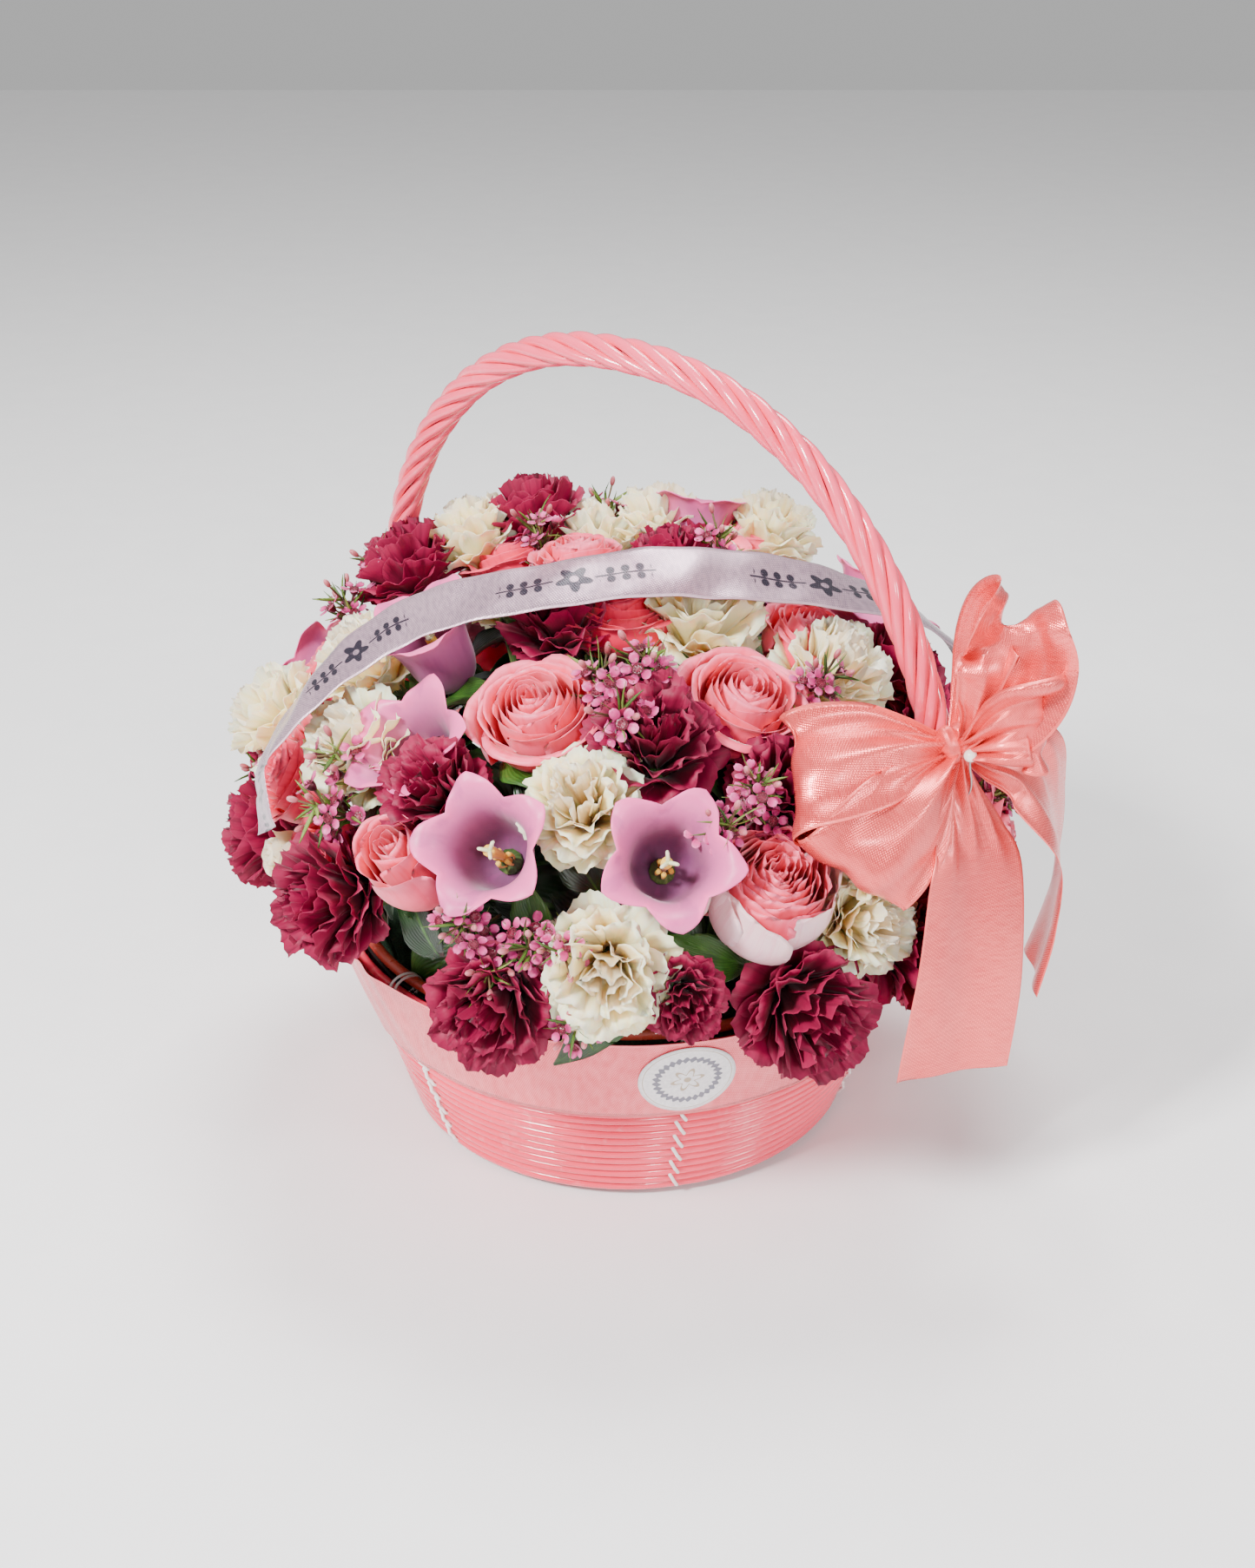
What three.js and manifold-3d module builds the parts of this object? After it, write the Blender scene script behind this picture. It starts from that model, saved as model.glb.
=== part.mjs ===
// A round gift basket: a coiled plastic-tube wall, a twisted-tube hoop handle, a satin band and
// bow, and a dome of cut flowers standing in floral foam. Millimetres, +Z up, base centre at the origin,
// front towards -Y.
import * as THREE from 'three';
import { mergeVertices } from 'three/addons/utils/BufferGeometryUtils.js';
import Module from 'manifold-3d';

const wasm = await Module();
wasm.setup();

// ---- driving dimensions ----
const CLEARANCE = 0.4;              // between pieces that touch on the real basket
const COIL_DIAMETER = 4.3;          // tube that the wall is wound from
const COIL_GAP = 0.3;               // between neighbouring turns
const COIL_STEPS = 20;              // straight steps in one turn
const BASE_RADIUS = 101.5;          // outside of the lowest turn
const WALL_HEIGHT = 97.5;
const WALL_FLARE = THREE.MathUtils.degToRad(16.2);
const BOARD_THICKNESS = 4;
const LINER_WALL = 1.2;
const LINER_SIDES = 32;
const LINER_DROP = 5.5;             // from the wall's top down to the liner's edge
const FOAM_DROP = 8;                // from the liner's edge down to the foam's top
const FOAM_CLEARANCE = 0.5;
const RIM_TUBE = 5;                 // tube of the rim hoop
const RIM_STEPS = 32;

const STITCH_LINES = 6;
const STITCH_START = THREE.MathUtils.degToRad(-49);
const STITCH_WIDTH = 4;
const STITCH_THICKNESS = 0.9;
const STITCH_BOTTOM = 2;

const BAND_WIDTH = 46;              // satin round the upper wall
const BAND_RISE = 3;                // how far the band's upper edge stands above the wall
const BAND_CHORD = 0.41;            // how far the band's flat sides may cut inside its round
const BAND_THICKNESS = 0.8;
const STICKER_DIAMETER = 40;
const STICKER_THICKNESS = 0.5;
const STICKER_TURN = THREE.MathUtils.degToRad(11);

const HANDLE_TURN = THREE.MathUtils.degToRad(-38.5);    // right foot comes towards the front
const HANDLE_LEAN = Math.tan(THREE.MathUtils.degToRad(5.4));
const HANDLE_LEAN_LEVEL = 220;      // height where the leaning plane crosses the middle
const HANDLE_HALF_SPAN = 147;
const HANDLE_SHIFT = 7.7;           // the arch stands a little to one side of its feet
const HANDLE_WIDEST = 155;          // height of the arch's widest place
const HANDLE_RISE = 182;            // from there up to the top of the centre line
const HANDLE_FULLNESS = 0.92;       // 1 is an ellipse, less is squarer at the shoulders
const HANDLE_FOOT_LEVEL = 30;
const HANDLE_CLEARANCE = 1.2;       // from its legs to the rim hoop and the liner
const LEG_CURVE_START = 22;         // how long the legs run straight on past the rim hoop
const LEG_CURVE_END = 28;           // how far below the widest place they stand upright
const LEG_SHARE = 0.19;             // share of the curve's parameter that each leg takes
const STRAND_COUNT = 6;
const STRAND_DIAMETER = 3.9;
const STRAND_GAP = 0.6;             // between neighbouring strands
const STRAND_LAY = 85;              // length of one full twist
const STRAND_STEPS_PER_LAY = 8;
const CORE_DIAMETER = 3.2;

const DOME_RADIUS = 152;            // to the flower heads' centres, level
const DOME_RISE = 112;              // the same, upright
const DOME_LIFT = 26.5;             // from the wall's top up to the dome's widest place
const STEM_RADIUS = 1.8;
const STEM_RING = 80;               // how far out the outermost stems stand in the foam
const STEM_FOOT = 45;
const FLOWER_SIDES = 6;

const RIBBON_THICKNESS = 1;
const LONG_RIBBON_WIDTH = 25;
const LONG_RIBBON_STEPS = 34;
const BOW_RIBBON_WIDTH = 50;
const PEARL_DIAMETER = 5;

const COLOURS = {
  tube: 0xf5919f,
  handle: 0xfaa7b3,
  rim: 0xd9806f,
  stitch: 0xf4efee,
  board: 0xe88e9a,
  liner: 0x151314,
  foam: 0x355b34,
  band: 0xf2a7a8,
  sticker: 0xf7f5f3,
  printed: 0xd9c3cb,
  bow: 0xf09c91,
  pearl: 0xf6efe6,
  core: 0x8b8b8b,
  carnation_red: 0x70062f,
  carnation_cream: 0xf7efd9,
  rose: 0xf8899d,
  rose_hot: 0xee4c7d,
  bell: 0xdc9cc0,
};

const basket = new THREE.Group();

function add(name, geometry, colour, roughness = 0.6, metalness = 0) {
  const material = new THREE.MeshStandardMaterial({ color: colour, roughness, metalness });
  const mesh = new THREE.Mesh(geometry, material);
  mesh.name = name;
  basket.add(mesh);
  return mesh;
}

// ---- the wall's cone: radius of the coil's centre line at a height ----
const coilRadius = COIL_DIAMETER / 2;
const coilStart = coilRadius + 0.2;
const wallReach = coilRadius / Math.cos(WALL_FLARE);
const chordShrink = Math.cos(Math.PI / COIL_STEPS);

function wallRadius(z) {
  return BASE_RADIUS - coilRadius + (z - coilStart) * Math.tan(WALL_FLARE);
}

function wallOutside(z) {
  return wallRadius(z) + wallReach;
}

function wallInside(z) {
  return wallRadius(z) * chordShrink - wallReach;
}

// A lathe whose profile is given as radius and height, standing on +Z.
function turned(profile, sides) {
  const points = profile.map(([r, z]) => new THREE.Vector2(r, z));
  return new THREE.LatheGeometry(points, sides).rotateX(Math.PI / 2);
}

function circleShape(radius, sides) {
  const shape = new THREE.Shape();
  for (let i = 0; i < sides; i += 1) {
    const angle = (2 * Math.PI * i) / sides;
    const x = radius * Math.cos(angle);
    const y = radius * Math.sin(angle);
    if (i === 0) shape.moveTo(x, y);
    else shape.lineTo(x, y);
  }
  shape.closePath();
  return shape;
}

function tubeAlong(curve, radius, sides, steps) {
  const options = { steps, bevelEnabled: false, extrudePath: curve };
  return new THREE.ExtrudeGeometry(circleShape(radius, sides), options);
}

// Lays a flat-built shape on the wall: x runs round the wall, y up its slope, z outwards.
function wrapOnWall(geometry, turn, middle, standOff) {
  const position = geometry.attributes.position;
  for (let i = 0; i < position.count; i += 1) {
    const z = middle + position.getY(i) * Math.cos(WALL_FLARE);
    const r = wallOutside(z) + standOff + position.getZ(i);
    const angle = turn + position.getX(i) / wallOutside(middle);
    position.setXYZ(i, r * Math.sin(angle), -r * Math.cos(angle), z);
  }
  return geometry;
}

// ---- basket ----
class WallHelix extends THREE.Curve {
  constructor(turns, rise) {
    super();
    this.turns = turns;
    this.rise = rise;
  }

  getPoint(t, target = new THREE.Vector3()) {
    const angle = 2 * Math.PI * this.turns * t;
    const z = coilStart + this.rise * this.turns * t;
    const r = wallRadius(z);
    return target.set(r * Math.cos(angle), r * Math.sin(angle), z);
  }

  getUtoTmapping(u) {
    return u;
  }
}

function addWall() {
  const rise = (COIL_DIAMETER + COIL_GAP) * Math.cos(WALL_FLARE);
  const turns = Math.floor((WALL_HEIGHT - COIL_DIAMETER) / rise);
  const helix = new WallHelix(turns, rise);
  add('wall_coil', tubeAlong(helix, coilRadius, 5, turns * COIL_STEPS), COLOURS.tube, 0.3);
}

function addBoard() {
  const radius = wallInside(coilStart) - CLEARANCE;
  const profile = [[0, 0], [radius, 0], [radius, BOARD_THICKNESS], [0, BOARD_THICKNESS]];
  add('base_board', turned(profile, 40), COLOURS.board, 0.5);
}

const linerFloor = BOARD_THICKNESS + CLEARANCE;
const linerTop = WALL_HEIGHT - LINER_DROP;
const foamTop = linerTop - FOAM_DROP;
const domeLevel = WALL_HEIGHT + DOME_LIFT;

function linerOutside(z) {
  return wallInside(z) - CLEARANCE;
}

function addLiner() {
  const bottomRadius = linerOutside(linerFloor);
  const topRadius = linerOutside(linerTop);
  const profile = [
    [0, linerFloor],
    [bottomRadius, linerFloor],
    [topRadius, linerTop],
    [topRadius - LINER_WALL, linerTop],
    [bottomRadius - LINER_WALL, linerFloor + LINER_WALL],
    [0, linerFloor + LINER_WALL],
  ];
  add('liner', turned(profile, LINER_SIDES), COLOURS.liner, 0.4);
}

const lastTurnRadius = wallRadius(WALL_HEIGHT - coilRadius) * chordShrink;
const rimRadius = lastTurnRadius - coilRadius - CLEARANCE - RIM_TUBE / 2;

function addRimHoop() {
  const hoop = new THREE.TorusGeometry(rimRadius, RIM_TUBE / 2, 6, RIM_STEPS);
  add('rim_hoop', hoop.translate(0, 0, WALL_HEIGHT), COLOURS.rim, 0.35);
}

function addStitches() {
  const top = WALL_HEIGHT - COIL_DIAMETER;
  const length = (top - STITCH_BOTTOM) / Math.cos(WALL_FLARE);
  const standOff = CLEARANCE + STITCH_THICKNESS / 2;
  for (let i = 0; i < STITCH_LINES; i += 1) {
    const turn = STITCH_START + (2 * Math.PI * i) / STITCH_LINES;
    const strip = new THREE.BoxGeometry(STITCH_WIDTH, length, STITCH_THICKNESS);
    wrapOnWall(strip, turn, (top + STITCH_BOTTOM) / 2, standOff);
    add(`stitch_line_${i + 1}`, strip, COLOURS.stitch, 0.7);
  }
}

const bandStandOff = CLEARANCE + STITCH_THICKNESS + CLEARANCE;
const bandTop = WALL_HEIGHT + BAND_RISE;
const bandBottom = bandTop - BAND_WIDTH * Math.cos(WALL_FLARE);
const bandRadius = wallOutside(bandTop) + bandStandOff;
const bandSides = Math.ceil(Math.PI / Math.acos(1 - BAND_CHORD / bandRadius));

function addBand() {
  const inner = (z) => wallOutside(z) + bandStandOff;
  const profile = [
    [inner(bandBottom), bandBottom],
    [inner(bandBottom) + BAND_THICKNESS, bandBottom],
    [inner(bandTop) + BAND_THICKNESS, bandTop],
    [inner(bandTop), bandTop],
    [inner(bandBottom), bandBottom],
  ];
  add('rim_band', turned(profile, bandSides), COLOURS.band, 0.35);

  const sticker = new THREE.CylinderGeometry(
    STICKER_DIAMETER / 2,
    STICKER_DIAMETER / 2,
    STICKER_THICKNESS,
    32,
  ).rotateX(Math.PI / 2);
  const standOff = bandStandOff + BAND_THICKNESS + 2 * CLEARANCE + STICKER_THICKNESS / 2;
  wrapOnWall(sticker, STICKER_TURN, (bandTop + bandBottom) / 2, standOff);
  add('round_sticker', sticker, COLOURS.sticker, 0.4);
}

// ---- handle: a hoop in its own upright frame, +X to the right foot ----
const strandRing = (STRAND_DIAMETER + STRAND_GAP) / (2 * Math.sin(Math.PI / STRAND_COUNT));
const handleReach = strandRing + STRAND_DIAMETER / 2;

function handleSetback(z) {
  return -HANDLE_LEAN * (z - HANDLE_LEAN_LEVEL);
}

// The leg's centre, as far out as it goes inside a ring of the given radius.
function legPoint(z, ringInside) {
  const reach = ringInside - handleReach - HANDLE_CLEARANCE;
  return new THREE.Vector2(Math.sqrt(reach ** 2 - handleSetback(z) ** 2), z);
}

const rimInside = (rimRadius - RIM_TUBE / 2) * Math.cos(Math.PI / RIM_STEPS);
const linerInside = linerOutside(HANDLE_FOOT_LEVEL) * Math.cos(Math.PI / LINER_SIDES) - LINER_WALL;
const legNeck = legPoint(WALL_HEIGHT + RIM_TUBE / 2, rimInside);
const legFoot = legPoint(HANDLE_FOOT_LEVEL, linerInside);

class HandleCurve extends THREE.Curve {
  constructor() {
    super();
    const neck = legNeck;
    const foot = legFoot;
    const slope = neck.clone().sub(foot).normalize();
    this.legs = [-1, 1].map((side) => {
      const widest = new THREE.Vector2(HANDLE_HALF_SPAN + side * HANDLE_SHIFT, HANDLE_WIDEST);
      const guides = [
        neck.clone().addScaledVector(slope, LEG_CURVE_START),
        widest.clone().setY(HANDLE_WIDEST - LEG_CURVE_END),
      ];
      const path = new THREE.CurvePath();
      path.add(new THREE.LineCurve(foot, neck));
      path.add(new THREE.CubicBezierCurve(neck, guides[0], guides[1], widest));
      return path;
    });
  }

  getPoint(t, target = new THREE.Vector3()) {
    const share = LEG_SHARE;
    let across;
    let z;
    if (t < share || t > 1 - share) {
      const side = t < share ? -1 : 1;
      const along = Math.min((side < 0 ? t : 1 - t) / share, 1);
      const point = this.legs[side < 0 ? 0 : 1].getPoint(along);
      across = side * point.x;
      z = point.y;
    } else {
      const angle = Math.PI * (1 - (t - share) / (1 - 2 * share));
      const sideways = Math.sign(Math.cos(angle)) * Math.abs(Math.cos(angle)) ** HANDLE_FULLNESS;
      across = HANDLE_SHIFT + HANDLE_HALF_SPAN * sideways;
      z = HANDLE_WIDEST + HANDLE_RISE * Math.max(Math.sin(angle), 0) ** HANDLE_FULLNESS;
    }
    return target.set(across, handleSetback(z), z);
  }
}

const handleCurve = new HandleCurve();
handleCurve.arcLengthDivisions = 400;
const handleLength = handleCurve.getLength();
const handleAway = new THREE.Vector3(0, 1, HANDLE_LEAN).normalize();

class StrandCurve extends THREE.Curve {
  constructor(start) {
    super();
    this.start = start;
  }

  getPoint(t, target = new THREE.Vector3()) {
    const centre = handleCurve.getPointAt(t);
    const along = handleCurve.getTangentAt(t);
    const outwards = along.clone().cross(handleAway).normalize();
    const angle = this.start - (2 * Math.PI * t * handleLength) / STRAND_LAY;
    target.copy(centre);
    target.addScaledVector(outwards, strandRing * Math.cos(angle));
    return target.addScaledVector(handleAway, strandRing * Math.sin(angle));
  }

  getUtoTmapping(u) {
    return u;
  }
}

function addHandle() {
  const steps = Math.ceil((handleLength / STRAND_LAY) * STRAND_STEPS_PER_LAY);
  const coreTube = tubeAlong(handleCurve, CORE_DIAMETER / 2, 6, steps);
  const core = add('handle_core', coreTube, COLOURS.core, 0.4);
  core.rotation.z = HANDLE_TURN;
  for (let i = 0; i < STRAND_COUNT; i += 1) {
    const strand = new StrandCurve((2 * Math.PI * i) / STRAND_COUNT);
    const geometry = tubeAlong(strand, STRAND_DIAMETER / 2, 5, steps);
    const mesh = add(`handle_strand_${i + 1}`, geometry, COLOURS.handle, 0.3);
    mesh.rotation.z = HANDLE_TURN;
  }
}

// ---- flowers: each is built in the upright plane of its azimuth, then turned about +Z ----
// Head profiles: [radius as a share of the head's radius, distance from the neck].
const HEADS = {
  carnation: [[0.3, 3], [0.35, 12], [0.95, 20], [1, 33], [0.55, 43], [0, 44]],
  rose: [[0.35, 3], [0.8, 12], [1, 26], [0.8, 40], [0.45, 46], [0, 46]],
  bell: [[0.25, 3], [0.6, 12], [0.72, 28], [1, 42], [0.85, 43], [0, 22]],
};
const NECK_TO_CENTRE = 27;

// Each row: head, colour, azimuth from the front (to the right), latitude on the dome, head radius.
const FLOWERS = [
  ['carnation', 'red', -50, 12, 19],
  ['carnation', 'red', -19, 3, 20],
  ['carnation', 'cream', -3, 12, 19],
  ['carnation', 'red', 26, -1, 20],
  ['carnation', 'cream', 37, 13, 15],
  ['rose', 'pink', 80, 4, 18],
  ['carnation', 'cream', 112, 4, 19],
  ['rose', 'pink', 145, 4, 18],
  ['carnation', 'red', 178, 4, 19],
  ['rose', 'hot', -154, 4, 18],
  ['carnation', 'cream', -112, 4, 19],
  ['carnation', 'red', -88, 2, 19],
  ['rose', 'pink', -37, 24, 14],
  ['bell', 'pink', -21, 30, 15],
  ['bell', 'pink', 6, 30, 16],
  ['rose', 'pink', 20, 26, 16],
  ['carnation', 'red', 75, 32, 19],
  ['carnation', 'cream', 122, 36, 19],
  ['rose', 'hot', 160, 34, 18],
  ['carnation', 'cream', -157, 34, 19],
  ['rose', 'pink', -105, 34, 18],
  ['rose', 'hot', -75, 24, 13],
  ['carnation', 'cream', -60, 38, 18],
  ['carnation', 'cream', -8, 40, 16],
  ['rose', 'pink', -23, 55, 18],
  ['carnation', 'red', 6, 51, 18],
  ['rose', 'pink', 31, 56, 18],
  ['carnation', 'cream', 63, 54, 18],
  ['bell', 'pink', -66, 58, 16],
  ['rose', 'hot', -140, 60, 18],
  ['carnation', 'red', 160, 60, 18],
  ['carnation', 'cream', 50, 76, 19],
  ['carnation', 'red', -45, 76, 17],
];

class StemLine {
  constructor(latitude) {
    const lat = THREE.MathUtils.degToRad(latitude);
    const head = new THREE.Vector2(
      DOME_RADIUS * Math.cos(lat),
      domeLevel + DOME_RISE * Math.sin(lat),
    );
    const tilt = Math.atan2(Math.sin(lat) / DOME_RISE, Math.cos(lat) / DOME_RADIUS);
    this.axis = new THREE.Vector2(Math.cos(tilt), Math.sin(tilt));
    this.neck = head.addScaledVector(this.axis, -NECK_TO_CENTRE);
    this.root = new THREE.Vector2(STEM_RING * Math.cos(lat), STEM_FOOT);
    const reach = 0.42 * this.neck.distanceTo(this.root);
    const guide = this.neck.clone().addScaledVector(this.axis, -reach);
    this.bend = new THREE.QuadraticBezierCurve(this.root, guide, this.neck);
  }

  // t runs from 0 to 1 along the stem; distance goes on straight past the neck.
  place(t, distance) {
    if (t >= 1) return [this.neck.clone().addScaledVector(this.axis, distance), this.axis];
    return [this.bend.getPoint(t), this.bend.getTangent(t)];
  }
}

const STEM_STEPS = 4;

// Bends a solid of revolution, given row by row, along the stem's line.
function bendOnStem(line, rows, sides) {
  const profile = rows.map((row, i) => new THREE.Vector2(row.radius, i));
  const geometry = new THREE.LatheGeometry(profile, sides);
  const position = geometry.attributes.position;
  for (let i = 0; i < position.count; i += 1) {
    const row = rows[Math.round(position.getY(i))];
    const [point, along] = line.place(row.t, row.distance);
    const side = position.getX(i);
    const lift = -position.getZ(i);
    position.setXYZ(i, point.x + along.y * side, lift, point.y - along.x * side);
  }
  return geometry;
}

function stemRows(radius) {
  const rows = [{ radius: 0, t: 0, distance: 0 }];
  for (let i = 0; i <= STEM_STEPS; i += 1) {
    rows.push({ radius, t: i / STEM_STEPS, distance: 0 });
  }
  return rows;
}

function flowerGeometry(line, head, size) {
  const rows = stemRows(STEM_RADIUS);
  HEADS[head].forEach(([share, distance]) => {
    rows.push({ radius: share * size, t: 1, distance });
  });
  return bendOnStem(line, rows, FLOWER_SIDES);
}

function holeGeometry(line) {
  const rows = stemRows(STEM_RADIUS + CLEARANCE);
  rows.push({ radius: 0, t: 1, distance: 0 });
  return bendOnStem(line, rows, FLOWER_SIDES);
}

const flowerLook = {
  red: COLOURS.carnation_red,
  cream: COLOURS.carnation_cream,
  pink: COLOURS.rose,
  hot: COLOURS.rose_hot,
};

function addFlowers() {
  const counts = {};
  const holes = [];
  FLOWERS.forEach(([head, colour, azimuth, latitude, size]) => {
    const line = new StemLine(latitude);
    const kind = head === 'bell' ? 'bellflower' : `${head}_${colour}`;
    counts[kind] = (counts[kind] ?? 0) + 1;
    const look = head === 'bell' ? COLOURS.bell : flowerLook[colour];
    const turn = THREE.MathUtils.degToRad(azimuth - 90);
    const mesh = add(`${kind}_${counts[kind]}`, flowerGeometry(line, head, size), look, 0.7);
    mesh.rotation.z = turn;
    holes.push(holeGeometry(line).rotateZ(turn));
  });
  return holes;
}

// ---- foam, with a hole for every stem and for both feet of the handle ----
function toSolid(geometry) {
  const bare = geometry.clone();
  bare.deleteAttribute('normal');
  bare.deleteAttribute('uv');
  const merged = mergeVertices(bare, 1e-3);
  const triangles = [];
  const index = merged.index.array;
  for (let i = 0; i < index.length; i += 3) {
    const [a, b, c] = [index[i], index[i + 1], index[i + 2]];
    if (a !== b && b !== c && c !== a) triangles.push(a, b, c);
  }
  return new wasm.Manifold(new wasm.Mesh({
    numProp: 3,
    vertProperties: new Float32Array(merged.attributes.position.array),
    triVerts: new Uint32Array(triangles),
  }));
}

function fromSolid(solid) {
  const mesh = solid.getMesh();
  const geometry = new THREE.BufferGeometry();
  geometry.setAttribute('position', new THREE.BufferAttribute(mesh.vertProperties, 3));
  geometry.setIndex(new THREE.BufferAttribute(mesh.triVerts, 1));
  return geometry;
}

const FOOT_HOLE_EXTRA = 0.08;       // how much deeper the hole goes than the foot, as a share

function footHole(side) {
  const [foot, neck] = [legFoot, legNeck].map(({ x, y }) => (
    new THREE.Vector3(side * x, handleSetback(y), y)
  ));
  const start = foot.clone().lerp(neck, -FOOT_HOLE_EXTRA);
  const radius = handleReach + 2 * CLEARANCE;
  const run = new THREE.LineCurve3(start, neck);
  return tubeAlong(run, radius, 12, 1).rotateZ(HANDLE_TURN);
}

function addFoam(holes) {
  const bottom = linerFloor + LINER_WALL + CLEARANCE;
  const linerFlats = Math.cos(Math.PI / LINER_SIDES);
  const inside = (z) => linerOutside(z) * linerFlats - LINER_WALL - FOAM_CLEARANCE;
  const profile = [
    [0, bottom],
    [inside(bottom), bottom],
    [inside(foamTop), foamTop],
    [0, foamTop],
  ];
  let block = toSolid(turned(profile, LINER_SIDES));
  [...holes, footHole(-1), footHole(1)].forEach((hole) => {
    block = block.subtract(toSolid(hole));
  });
  add('foam_block', fromSolid(block), COLOURS.foam, 0.95);
}

// ---- ribbons: flat strips along hand-laid points, each with the direction of its width and
// how much of the full width is open there (a bow is gathered at its knot) ----
function stripAlong(stations, width, steps) {
  const centres = stations.map(([x, y, z]) => new THREE.Vector3(x, y, z));
  const widths = stations.map(([, , , x, y, z, open = 1]) => (
    new THREE.Vector3(x, y, z).setLength(open)
  ));
  const centreLine = new THREE.CatmullRomCurve3(centres);
  const widthLine = new THREE.CatmullRomCurve3(widths);
  const geometry = new THREE.BoxGeometry(width, RIBBON_THICKNESS, 1, 1, 1, steps);
  const position = geometry.attributes.position;
  for (let i = 0; i < position.count; i += 1) {
    const t = Math.round((position.getZ(i) + 0.5) * steps) / steps;
    const along = centreLine.getTangent(t);
    const across = widthLine.getPoint(t);
    const open = across.length();
    across.addScaledVector(along, -across.dot(along)).normalize();
    const up = along.clone().cross(across);
    const point = centreLine.getPoint(t);
    point.addScaledVector(across, position.getX(i) * open);
    point.addScaledVector(up, position.getY(i));
    position.setXYZ(i, point.x, point.y, point.z);
  }
  return geometry;
}

// Stations: x, y, z of the middle of the ribbon, then the direction of its width. The long
// ribbon lies over the dome, so its stations count from the dome's level.
const LONG_RIBBON = [
  [-144, -76, 42, 0.35, -0.66, 0.6],
  [-147, -68, 55, 0.32, -0.84, 0.42],
  [-146, -59, 64, 0.28, -0.92, 0.25],
  [-136, -54, 79, 0.25, -0.93, 0.07],
  [-122, -50, 94, 0.25, -0.94, -0.05],
  [-105, -45, 107, 0.28, -0.93, -0.17],
  [-87, -42, 118, 0.25, -0.92, -0.25],
  [-66, -44, 126, 0.15, -0.91, -0.36],
  [-42, -46, 132, 0.1, -0.9, -0.42],
  [-15, -45, 136, 0.03, -0.9, -0.44],
  [12, -42, 138, 0, -0.9, -0.44],
  [34, -38, 136, 0.06, -0.9, -0.43],
  [60, -32, 131, 0.15, -0.89, -0.43],
  [86, -22, 123, 0.25, -0.87, -0.4],
  [110, -6, 110, 0.38, -0.87, -0.3],
  [130, 6, 94, 0.4, -0.88, -0.2],
  [143, 10, 78, 0.3, -0.93, 0],
  [152, 8, 58, 0.15, -0.96, 0.1],
];

// The bow is tied on the right leg, and its stations count from the knot's centre.
const BOW_LEVEL = 216;
const KNOT_SIZE = [9, 5.5, 9];
const KNOT_TURN = THREE.MathUtils.degToRad(30);
const LOOP_LEFT = [
  [-9.9, -5.9, -3.4, 0.5, -0.47, -0.73, 0.3],
  [-22.7, -15.9, -6.2, 0.5, -0.47, -0.73, 0.85],
  [-36, -23.6, -10.9, 0.5, -0.47, -0.73, 1],
  [-44, -25.1, -15.7, 0.5, -0.47, -0.73, 1],
  [-47.4, -22.5, -19.7, 0.5, -0.47, -0.73, 1],
  [-44.8, -16.9, -21.4, 0.5, -0.47, -0.73, 1],
  [-36.7, -11.1, -19.4, 0.5, -0.47, -0.73, 1],
  [-24, -5.4, -13.8, 0.5, -0.47, -0.73, 0.85],
  [-10.9, -1.3, -7, 0.5, -0.47, -0.73, 0.3],
];
const LOOP_RIGHT = [
  [5.6, 3.3, 10.3, 0.85, -0.35, -0.35, 0.3],
  [13.4, 8.8, 23.7, 0.85, -0.35, -0.35, 0.8],
  [20.4, 11.7, 37.9, 0.85, -0.35, -0.35, 1],
  [23.5, 9.2, 47.9, 0.85, -0.35, -0.35, 1],
  [23.4, 5, 51.8, 0.85, -0.35, -0.35, 1],
  [20.6, 0.9, 49.2, 0.85, -0.35, -0.35, 1],
  [15.9, -2.1, 40.7, 0.85, -0.35, -0.35, 1],
  [9.2, -4.1, 26.3, 0.85, -0.35, -0.35, 0.8],
  [3.7, -3.1, 12, 0.85, -0.35, -0.35, 0.3],
];
const TAIL_FRONT = [
  [2, -7, -15, 0.85, 0.4, -0.1, 0.35],
  [9, -17, -44, 0.84, 0.45, -0.2, 0.9],
  [8, -28, -86, 0.84, 0.4, -0.35, 1],
  [6, -29, -132, 0.84, 0.4, -0.42, 1],
];
const TAIL_BACK = [
  [14, 8, -7, 0.6, 0.4, 0.6, 0.35],
  [33, 13, -15, 0.5, 0.6, 0.6, 0.7],
  [43, 17, -44, 0.2, 0.98, 0, 1],
  [43, 17, -78, 0.1, 0.98, 0, 1],
  [35, 13, -112, 0.1, 0.98, 0, 1],
];

function legPlace(z) {
  const rise = ((z - HANDLE_WIDEST) / HANDLE_RISE) ** (1 / HANDLE_FULLNESS);
  const sideways = Math.sqrt(1 - rise ** 2) ** HANDLE_FULLNESS;
  const across = HANDLE_SHIFT + HANDLE_HALF_SPAN * sideways;
  return new THREE.Vector3(across, handleSetback(z), z).applyAxisAngle(
    new THREE.Vector3(0, 0, 1),
    HANDLE_TURN,
  );
}

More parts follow.
